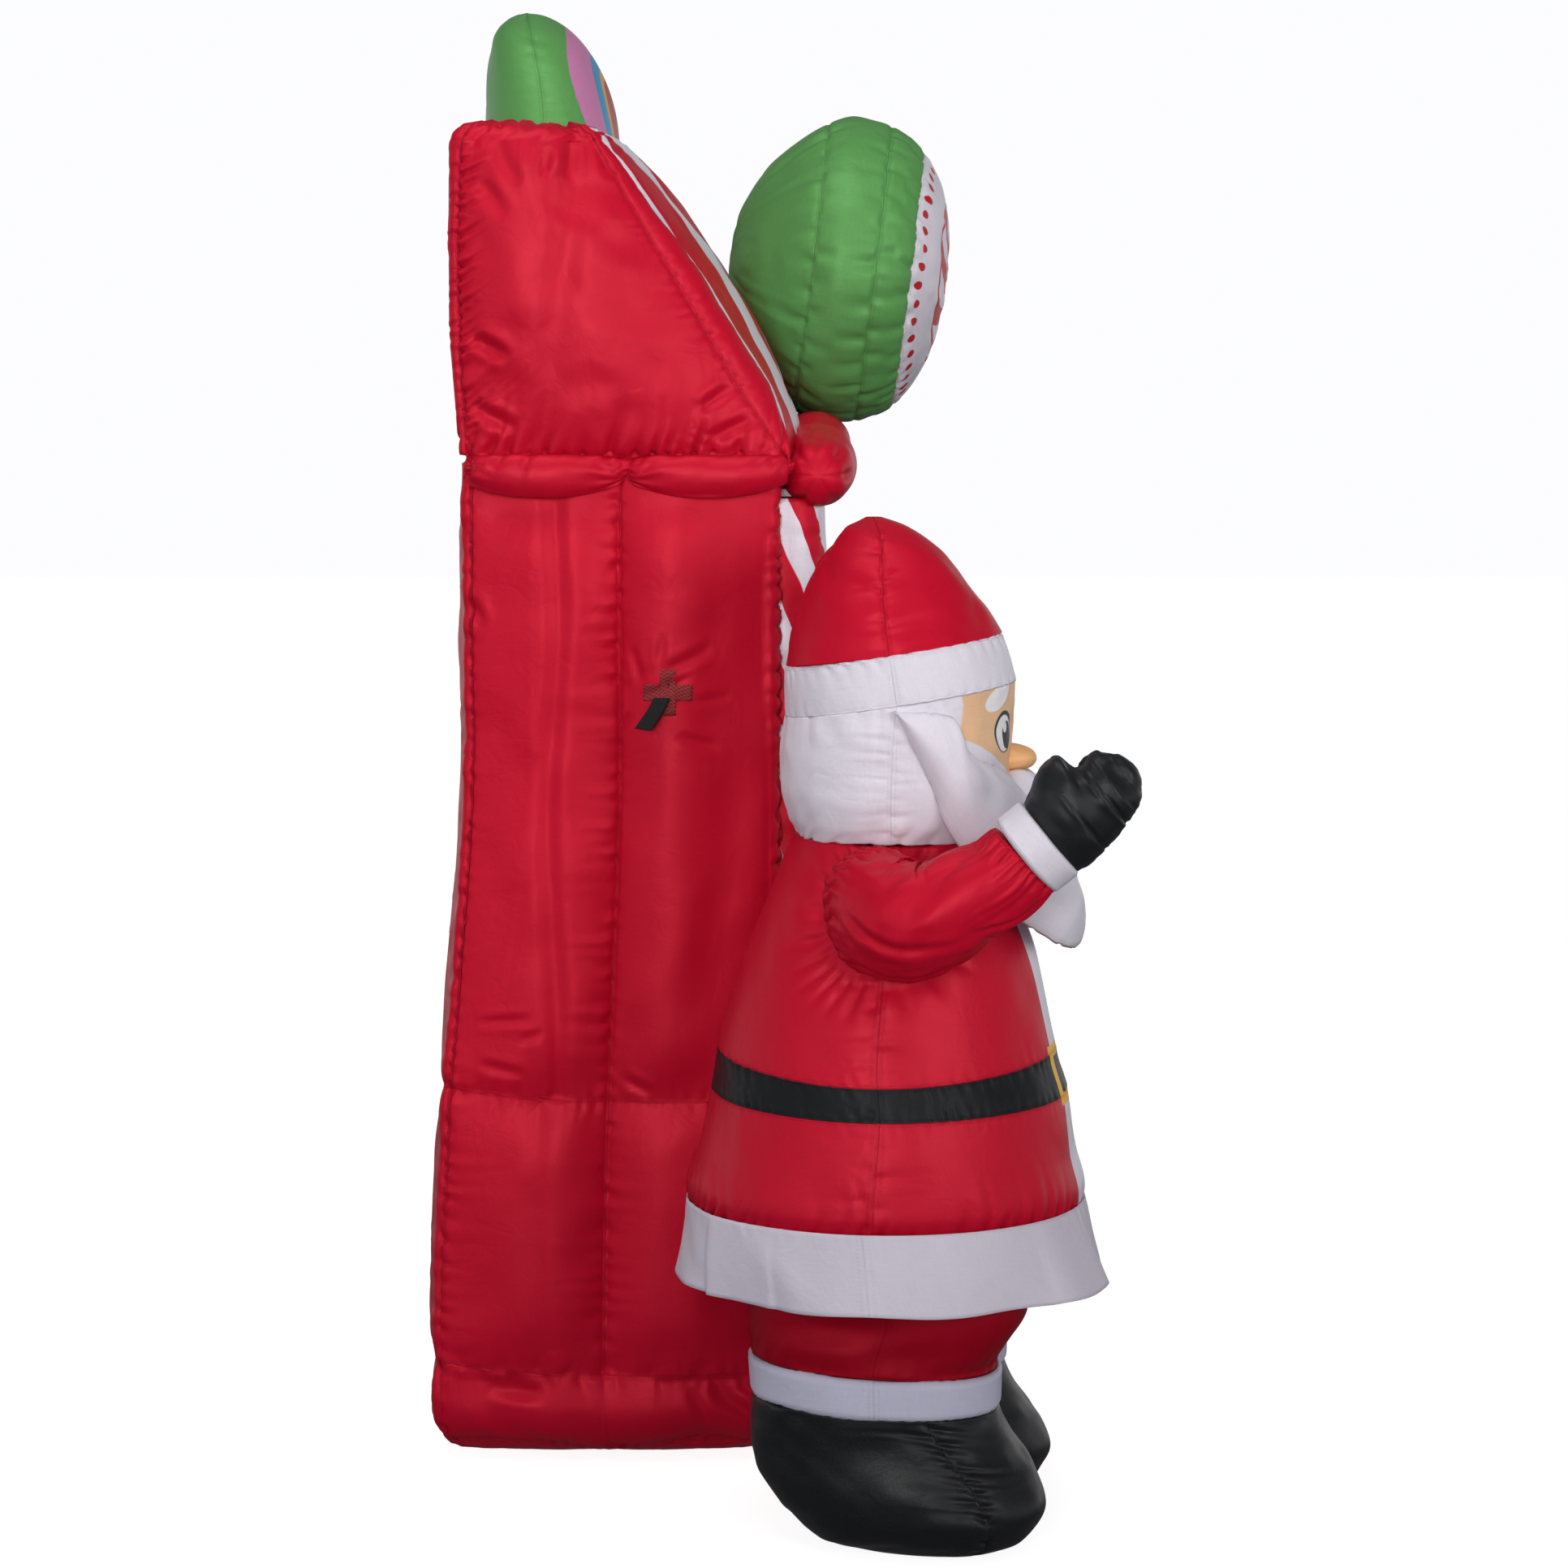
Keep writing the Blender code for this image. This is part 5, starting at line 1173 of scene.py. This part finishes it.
arms = {
    "Right": [(-.075, .004, .624, .050, .046), (-.125, .003, .629, .058, .053),
              (-.170, -.025, .625, .058, .053), (-.184, -.056, .633, .052, .049),
              (-.187, -.087, .650, .047, .044), (-.187, -.117, .665, .042, .041),
              (-.186, -.139, .687, .039, .038)],
    "Left": [(.075, .000, .618, .050, .048), (.125, -.004, .612, .059, .050),
             (.180, -.018, .580, .056, .046), (.212, -.032, .540, .050, .042),
             (.231, -.042, .504, .044, .038), (.244, -.050, .472, .038, .036)],
    "cuffLength": 0.030, "cuffLip": 0.004, "mittenLength": 0.103,
    # the mitten's outline: rows of (share of its length, thumb edge, far edge, half thickness)
    "mitten": [(0.000, .0400, -.0400, .0300), (0.100, .0450, -.0422, .0325), (0.220, .0515, -.0430, .0340),
               (0.345, .0570, -.0422, .0340), (0.460, .0575, -.0405, .0330), (0.520, .0545, -.0396, .0320),
               (0.555, .0460, -.0390, .0315), (0.575, .0370, -.0385, .0312), (0.600, .0345, -.0378, .0310),
               (0.700, .0370, -.0350, .0300), (0.810, .0345, -.0300, .0270), (0.905, .0265, -.0225, .0210),
               (0.970, .0160, -.0125, .0130), (1.000, .0050, -.0030, .0040)],
    "notch": 0.570,
}


def unit(vectors):
    return vectors / np.linalg.norm(vectors, axis=-1, keepdims=True)


def tube(path, breadth, depth, columns):
    # rings square to a path: breadth is measured across, in the upright plane, and depth square to that
    ahead = unit(np.gradient(path, axis=0))
    across = np.cross(ahead, [1.0, 0.0, 0.0])
    across = np.where(np.linalg.norm(across, axis=1, keepdims=True) < 0.35, [0.0, 0.0, 1.0], across)
    across = unit(across)
    deep = np.cross(ahead, across)
    turn = turns(columns)
    return path[:, None] + across[:, None] * (breadth[:, None] * np.cos(turn))[..., None] \
        + deep[:, None] * (depth[:, None] * np.sin(turn))[..., None], turn


def sewArm(name):
    a = arms
    stations = np.array(a[name]) * figure["height"]
    table = np.column_stack([np.arange(len(stations)), stations])
    read = curveAt(table, np.linspace(0, len(stations) - 1, 108)).T
    points, turn = tube(read[:, :3], read[:, 3], read[:, 4], 120)
    u, v = onCloth(points)
    run = np.hstack([0, np.cumsum(np.linalg.norm(np.diff(read[:, :3], axis=0), axis=1))])[:, None]
    armhole = between(run + 0 * u, [0.085, run[-1, 0]])
    push = puckers(armhole, turn * 0.09 + 0 * u, *figurePuckers["armhole"])
    push += hills(u, v, figureHills["sleeve"])
    ahead = unit(np.gradient(read[:, :3], axis=0))
    bend = unit(np.gradient(ahead, axis=0) + 1e-9)            # points to the inside of the elbow
    inside = np.einsum("rcx,rx->rc", unit(points - read[:, None, :3]), bend)
    push -= 0.0065 * np.clip(inside, 0, 1) ** 1.5 * np.sin(run / 0.0085 + 2 * np.sin(turn)) ** 2 \
        * np.exp(-((run - 0.22) / 0.06) ** 2)
    for begin, end, width, depth in sleeveFolds:
        push += fold(run + 0 * u, (turn + 0 * u) * 0.09, begin, end, width, depth)
    push *= np.clip((run[-1] - run) / 0.006, 0, 1)
    addFigurePiece("sleeve" + name, points, push, redCloth, level=armhole)

    ahead = unit(read[-1, :3] - stations[-2, :3] * 0.35 - read[-30, :3] * 0.65)
    start = read[-1, :3] + ahead * 0.0005
    place = np.linspace(0, 1, 26)
    lip = a["cuffLip"] * figure["height"] * np.clip(np.minimum(place, 1 - place) / 0.12, 0, 1) ** 0.5
    cuffLength = a["cuffLength"] * figure["height"]
    path = start + ahead * (cuffLength * place)[:, None]
    points, turn = tube(path, read[-1, 3] + lip, read[-1, 4] + lip, 96)
    u, v = onCloth(points)
    level = between(v, [0.004, cuffLength + 0.004])
    addFigurePiece("cuff" + name, points, hills(u, v, figureHills["cuff"]), whiteCloth, level=level)

    hand = start + ahead * (cuffLength + 0.0005)
    place = np.sin(np.linspace(0, math.pi / 2, 98))
    near, far, thick = curveAt(a["mitten"], place) * figure["height"]
    up = unit(-np.cross([1.0, 0.0, 0.0], ahead))
    path = hand + ahead * (a["mittenLength"] * figure["height"] * place)[:, None]
    path = path + up * ((near + far) / 2)[:, None]
    turn = turns(120)
    deep = np.cross(ahead, up)
    points = path[:, None] + up * ((near - far)[:, None] / 2 * np.cos(turn))[..., None] \
        + deep * (thick[:, None] * np.sign(np.sin(turn)) * np.abs(np.sin(turn)) ** 0.9)[..., None]
    u, v = onCloth(points)
    lift = np.einsum("rcx,x->rc", points - hand, up) / figure["height"]
    run = place[:, None] + 0 * u
    upright = (np.broadcast_to(turn / math.pi, u.shape), np.full(u.shape, 0.16))
    push = puckers(upright, v, *figurePuckers["mitten"]) + hills(u, v, figureHills["mitten"])
    push += groove(upright, 0.0014)
    crease = (run - a["notch"] + 2.6 * (0.040 - lift)) / 0.040     # from the notch down into the palm
    push -= 0.011 * np.exp(-crease ** 2) * risen(lift, 0.026, 0.010) * np.abs(np.sin(turn)) ** 0.5
    for start, end, width, depth in handFolds:
        push += fold(run, lift, start, end, width, depth)
    push *= risen(1 - place, 0.10)[:, None]
    addFigurePiece("mitten" + name, points, push, blackCloth, upright)


sleeveFolds = [   # long creases on the sleeves: start, end (metres along and round it), width, depth
    ((0.12, 0.30), (0.27, 0.38), 0.009, 0.007), ((0.15, 0.26), (0.30, 0.33), 0.008, 0.006),
    ((0.10, 0.22), (0.22, 0.26), 0.009, 0.006), ((0.20, 0.42), (0.34, 0.36), 0.008, 0.006),
    ((0.13, 0.14), (0.24, 0.20), 0.008, 0.005), ((0.26, 0.20), (0.38, 0.27), 0.007, 0.004),
]
handFolds = [   # creases on the mittens: start, end (share of the length, lift), width, depth
    ((0.95, 0.010), (0.78, 0.004), 0.022, 0.005), ((0.97, -0.004), (0.74, -0.012), 0.022, 0.005),
    ((0.90, 0.020), (0.76, 0.014), 0.020, 0.004), ((0.60, -0.034), (0.66, -0.012), 0.020, 0.005),
    ((0.30, -0.036), (0.36, -0.014), 0.022, 0.004),
]


# Legs and boots

legs = {"outline": [(.140, .005, .118, .094), (.186, .006, .120, .094), (.240, -.006, .139, .094),
                    (.317, .000, .144, .078)],
        "spread": 0.088, "power": 2.2,
        "cuffLow": 0.144, "cuffHigh": 0.183, "cuffRise": -0.050, "cuffLip": 0.005}
boots = {"splayDeg": 14.0, "power": 2.3,
         "outline": [(.0000, .036, -.100, .044), (.0070, .060, -.128, .062), (.0240, .086, -.150, .079),
                     (.0480, .108, -.160, .089), (.0760, .122, -.152, .092), (.1040, .127, -.134, .091),
                     (.1300, .126, -.118, .091), (.1455, .123, -.112, .092)]}


def pressFlat(points, side):
    # both legs and boots press flat against each other at the middle
    points[..., 0] = side * np.maximum(side * points[..., 0], 0.0006)
    return points


def legRings(side, height, turn, grow, rise):
    middle, half, wide = curveAt(legs["outline"], height)
    x, y = ovalRing(turn, wide + grow, half + grow, legs["power"])
    return np.stack([x + side * legs["spread"], y + middle, height - rise * y], -1) * figure["height"]


def sewLeg(side, name):
    turn = fromBack(150)
    hem = outlines["coat"][0][0] - 0.0004
    place = np.linspace(0, 1, 50)[:, None]
    height = legs["cuffHigh"] + (hem - legs["cuffHigh"]) * place + 0 * turn
    points = legRings(side, height, turn, 0.0, legs["cuffRise"] * (1 - place))
    u, v = onCloth(points)
    level = between(v, [0.0])
    push = (puckers(level, u, *figurePuckers["leg"]) + hills(u, v, figureHills["leg"])) * risen(place, 0.03)
    leg = grid(toWorld(pressFlat(pushOut(points, push), side)), sideSeams(turn, u.shape, 0.02), level)
    addPiece("leg" + name, [leg], trouserCloth)

    place = np.linspace(0, 1, 30)[:, None]
    height = legs["cuffLow"] + (legs["cuffHigh"] - 0.0004 - legs["cuffLow"]) * place + 0 * turn
    grow = legs["cuffLip"] * np.clip(np.minimum(place, 1 - place) / 0.15, 0, 1) ** 0.5
    points = legRings(side, height, turn, grow, legs["cuffRise"])
    u, v = onCloth(points)
    push = puckers(between(v, [0.0, 0.075]), u, *figurePuckers["bootCuff"])
    push += hills(u, v, figureHills["bootCuff"])
    cuff = grid(toWorld(pressFlat(pushOut(points, push), side)), sideSeams(turn, u.shape, 0.02))
    # the boot cuffs take the darker white that paints their shade
    addPiece("bootCuff" + name, [cuff], shadedCuffCloth)


def sewBoot(side, name):
    b = boots
    turn = fromBack(190)
    place = np.linspace(0, 1, 78)[:, None] ** 1.15
    height = (legs["cuffLow"] - 0.0004) * place + 0 * turn
    heel, toe, half = curveAt(b["outline"], height)
    x, y = ovalRing(turn, half, (heel - toe) / 2, b["power"])
    y = y + (heel + toe) / 2
    splay = math.radians(b["splayDeg"]) * side * (1 - place)
    x, y = x * np.cos(splay) - y * np.sin(splay), x * np.sin(splay) + y * np.cos(splay)
    z = height - legs["cuffRise"] * y * place
    points = np.stack([x + side * legs["spread"], y, z], -1) * figure["height"]
    u, v = onCloth(points)
    outer = math.pi if side < 0 else 0.0                      # the turn that faces outwards
    toeward = -side * (turn - outer - (2 * math.pi if side > 0 else 0))
    seamTurn = 0.42 + 0.47 * (1 - place)                      # the side seam sweeps forward as it goes down
    beside = (toeward - seamTurn) * 0.16
    upright = (np.clip(beside / 0.3, -0.5, 0.5), np.full(u.shape, 0.3))
    push = puckers(upright, v, *figurePuckers["boot"]) + groove(upright, 0.0028, 0.0045)
    push += hills(u, v, figureHills["boot"])
    push *= risen(place, 0.12) * risen(1 - place, 0.03)
    boot = grid(toWorld(pressFlat(pushOut(points, push), side)), upright)
    addPiece("boot" + name, [boot], blackCloth)


# The loose white border at the coat's hem

trim = {"top": 0.3260, "bottom": 0.2500, "flare": 0.0150, "swing": 0.010, "thickness": 0.0016,
        # upright folds: degrees round from the right, width in degrees, depth
        "folds": [(126.0, 6.0, 0.010), (232.0, 8.0, 0.006), (150.0, 5.0, -0.004),
                  (20.0, 7.0, 0.009), (310.0, 7.0, 0.008), (75.0, 6.0, 0.008)]}


def sewTrim():
    t = trim
    turn = fromBack(360)
    place = np.linspace(0, 1, 20)[:, None]
    ring = figureRings(outlines["coat"], 0.3400 + 0 * turn, turn)
    out = unit(ring * [1, 1, 0])
    flare = t["flare"] * figure["height"] * place + 0.002
    wave = 1 + 0.40 * place * np.sin(5 * (turn - math.pi / 2) + 0.6) + 0.22 * place * wander(turn * 2.2, 201)
    points = ring * [1, 1, 0] + out * (flare * wave)[..., None]
    points[..., 1] -= t["swing"] * figure["height"] * place
    ragged = 1 + 0.035 * wander(turn * 2.6, 202) * place
    points[..., 2] = figure["height"] * (t["top"] + (t["bottom"] - t["top"]) * place * ragged)
    points = points[::-1]
    u, v = onCloth(points)
    fromTop = v.max() - v
    top = between(fromTop, [0.0])
    upright = sideSeams(turn, u.shape, -0.05)
    share = fromTop / fromTop.max()
    push = puckers(top, u, *figurePuckers["trim"]) * (fromTop > 0.002) + hills(u, v, figureHills["trim"])
    push += 0.003 * np.exp(-((upright[0] - np.round(upright[0])) * sideSpan / 0.008) ** 2)
    for at, wide, deep in t["folds"]:                         # each steps out and falls back slowly
        off = (np.degrees(turn) - 360 * (turn > 2 * math.pi) - at) / wide
        push += deep * share ** 0.7 * np.exp(-(off * np.where(off > 0, 1, 5)) ** 2)
    push += 0.006 * share * wander(turn * 4.3, 205)
    strip = grid(toWorld(pushOut(points, push)), upright, ends=(False, False))
    border = addPiece("coatTrim", [strip], trimCloth)
    wall = border.modifiers.new("Cloth thickness", "SOLIDIFY")
    wall.thickness = t["thickness"]
    wall.offset = 1.0


# Finishes, then the pieces

pale = {"roughness": 0.45, "specular": 0.2, "sheen": 0.04, "gloss": 0.0, "seamShade": 0.3, "weaveShare": 0.6}
redCloth = nylon("red nylon", "red_cloth", colours["red"], specular=0.13)
roofCloth = nylon("red nylon, striped slope", "red_cloth", roofPrint)
ridgeCloth = nylon("green nylon, ringed front", "green_cloth", ridgePrint)
signCloth = nylon("green nylon, printed front", "green_cloth", signPrint)
candyCloth = nylon("red and white striped nylon", "candy_cloth", columnPrint)
coatCloth = nylon("red nylon, printed belt", "red_cloth", coatPrint, seamShade=0.8)
faceCloth = nylon("white nylon, printed face", "white_cloth", facePrint, **pale)
whiteCloth = nylon("white nylon", "white_cloth", colours["white"], **pale)
# the boot cuffs: the same white cloth painted darker and bluer, as painted shade
shadedCuffCloth = nylon("white nylon, boot cuffs", "white_cloth", colours["cuff"], **pale)
trimCloth = nylon("white nylon, single", "white_cloth", colours["trim"],
                  **{**pale, "roughness": 0.6, "specular": 0.15, "sheen": 0.02})
trouserCloth = nylon("dark red nylon", "trouser_cloth", colours["trouser"], 0.45, 0.06)
patchCloth = nylon("red tape, zigzag stitched", "trouser_cloth", patchPrint, 0.6)
blackCloth = nylon("black nylon", "black_cloth", colours["black"], 0.42, 0.28, 0.02, gloss=0.0)
noseCloth = nylon("skin nylon", "skin_cloth", colours["nose"], 0.42, 0.2, gloss=0.1)
webbing = nylon("black webbing", "black_cloth", colours["webbing"], 0.7, 0.2, gloss=0.0)

wallCloth = sewWalls()
sewRoof()
sewRidgeCushion()
sewSign()
sewRoll()
for side, name in ((-1, "Right"), (1, "Left")):
    sewColumn(side, "column" + name)
for side, name in ((-1, "Right"), (1, "Left")):
    sewTether(side, name)
sewCoat()
sewHead()
sewHat()
sewNose()
sewMoustache()
sewBeard()
sewArm("Right")
sewArm("Left")
for side, name in ((-1, "Right"), (1, "Left")):
    sewLeg(side, name)
    sewBoot(side, name)
sewTrim()


# Stage, light and camera

stageSet = {
    "floorHalf": 30.0, "floor": (0.52, 0.52, 0.52), "floorGlow": 0.88,
    "skyLow": (0.98, 0.98, 1.0), "skyHigh": (0.16, 0.16, 0.165), "skyFloor": (0.10, 0.10, 0.105),
    "dimBelow": -8.0, "paleFrom": -6.0, "paleUntil": 7.0, "dimFrom": 16.0,   # degrees above the horizon
}
lamps = [   # name, place, aimed at, width and height, watts, spread in degrees
    ("tall lamp", (-7.6, 0.55, 2.8), (-0.7, -0.1, 1.85), (1.1, 3.0), 16.0, 52.0),
    ("right lamp", (-6.6, -4.6, 2.7), (-0.9, -0.3, 1.85), (1.6, 2.6), 13.0, 52.0),
    ("left lamp", (-5.6, 4.2, 2.6), (-0.9, -0.3, 1.65), (1.4, 2.6), 3.5, 70.0),
    ("top lamp", (-1.8, 0.3, 5.2), (-0.6, -0.1, 1.0), (3.0, 2.0), 60.0, 180.0),
]
cameraSet = {"at": (-6.99, -0.275, 1.76), "downDeg": 5.8, "lens": 4750 / 1932 * 36}


def aim(thing, target):
    run = np.subtract(target, thing.location)
    flat = math.hypot(run[0], run[1])
    tilt, heading = math.atan2(run[2], flat), math.atan2(run[1], run[0])
    thing.rotation_euler = (math.pi / 2 + tilt, 0, heading - math.pi / 2)


def skyPlace(degrees):
    # where an angle above the horizon stands on the sky's ramp
    return 0.5 + 0.5 * math.sin(math.radians(degrees))


def setStage():
    half = stageSet["floorHalf"]
    mesh = bpy.data.meshes.new("floor")
    corners = [(-half, -half, 0), (half, -half, 0), (half, half, 0), (-half, half, 0)]
    mesh.from_pydata(corners, [], [(0, 1, 2, 3)])
    floor = bpy.data.objects.new("floor", mesh)
    bpy.context.scene.collection.objects.link(floor)
    f = Finish("pale floor")
    cloud = f.noise(f.spot(), (3.0, 3.0, 3.0), 3.0)
    f.feed(f.shader.inputs["Base Color"], f.paint(cloud * 0.05, (0.80, 0.80, 0.81), stageSet["floor"]))
    f.shader.inputs["Roughness"].default_value = 0.9
    f.shader.inputs["Emission Color"].default_value = (1.0, 1.0, 1.0, 1.0)
    f.shader.inputs["Emission Strength"].default_value = stageSet["floorGlow"]
    mesh.materials.append(f.material)
    floor.visible_diffuse = floor.visible_glossy = False      # the glow stays off the cloth
    world = bpy.data.worlds.new("studio air")
    world.use_nodes = True
    tree = world.node_tree
    heading, split = tree.nodes.new("ShaderNodeTexCoord"), tree.nodes.new("ShaderNodeSeparateXYZ")
    tilt, ramp = tree.nodes.new("ShaderNodeMapRange"), tree.nodes.new("ShaderNodeValToRGB")
    tilt.inputs["From Min"].default_value = -1.0              # straight down reads 0, the horizon 0.5
    tree.links.new(heading.outputs["Generated"], split.inputs[0])
    tree.links.new(split.outputs["Z"], tilt.inputs["Value"])
    tree.links.new(tilt.outputs["Result"], ramp.inputs["Fac"])
    tree.links.new(ramp.outputs["Color"], tree.nodes["Background"].inputs["Color"])
    stops = ramp.color_ramp.elements
    for stop, paint, degrees in ((stops[0], "skyFloor", "dimBelow"), (stops[1], "skyHigh", "dimFrom")):
        stop.color, stop.position = (*stageSet[paint], 1.0), skyPlace(stageSet[degrees])
    for degrees in (stageSet["paleFrom"], stageSet["paleUntil"]):
        stops.new(skyPlace(degrees)).color = (*stageSet["skyLow"], 1.0)
    bpy.context.scene.world = world
    for name, at, target, size, watts, spread in lamps:
        light = bpy.data.lights.new(name, "AREA")
        light.shape = "RECTANGLE"
        light.size, light.size_y = size
        light.energy = watts
        light.spread = math.radians(spread)
        lamp = bpy.data.objects.new(name, light)
        lamp.location = at
        aim(lamp, target)
        bpy.context.scene.collection.objects.link(lamp)
    bpy.context.scene.view_settings.view_transform = "Standard"


def setCamera():
    data = bpy.data.cameras.new("camera")
    data.lens = cameraSet["lens"]
    data.sensor_width = 36.0
    camera = bpy.data.objects.new("camera", data)
    camera.location = cameraSet["at"]
    camera.rotation_euler = (math.radians(90 - cameraSet["downDeg"]), 0, -math.pi / 2)
    bpy.context.scene.collection.objects.link(camera)
    bpy.context.scene.camera = camera


setStage()
setCamera()
print("stage set")

bpy.context.view_layer.update()
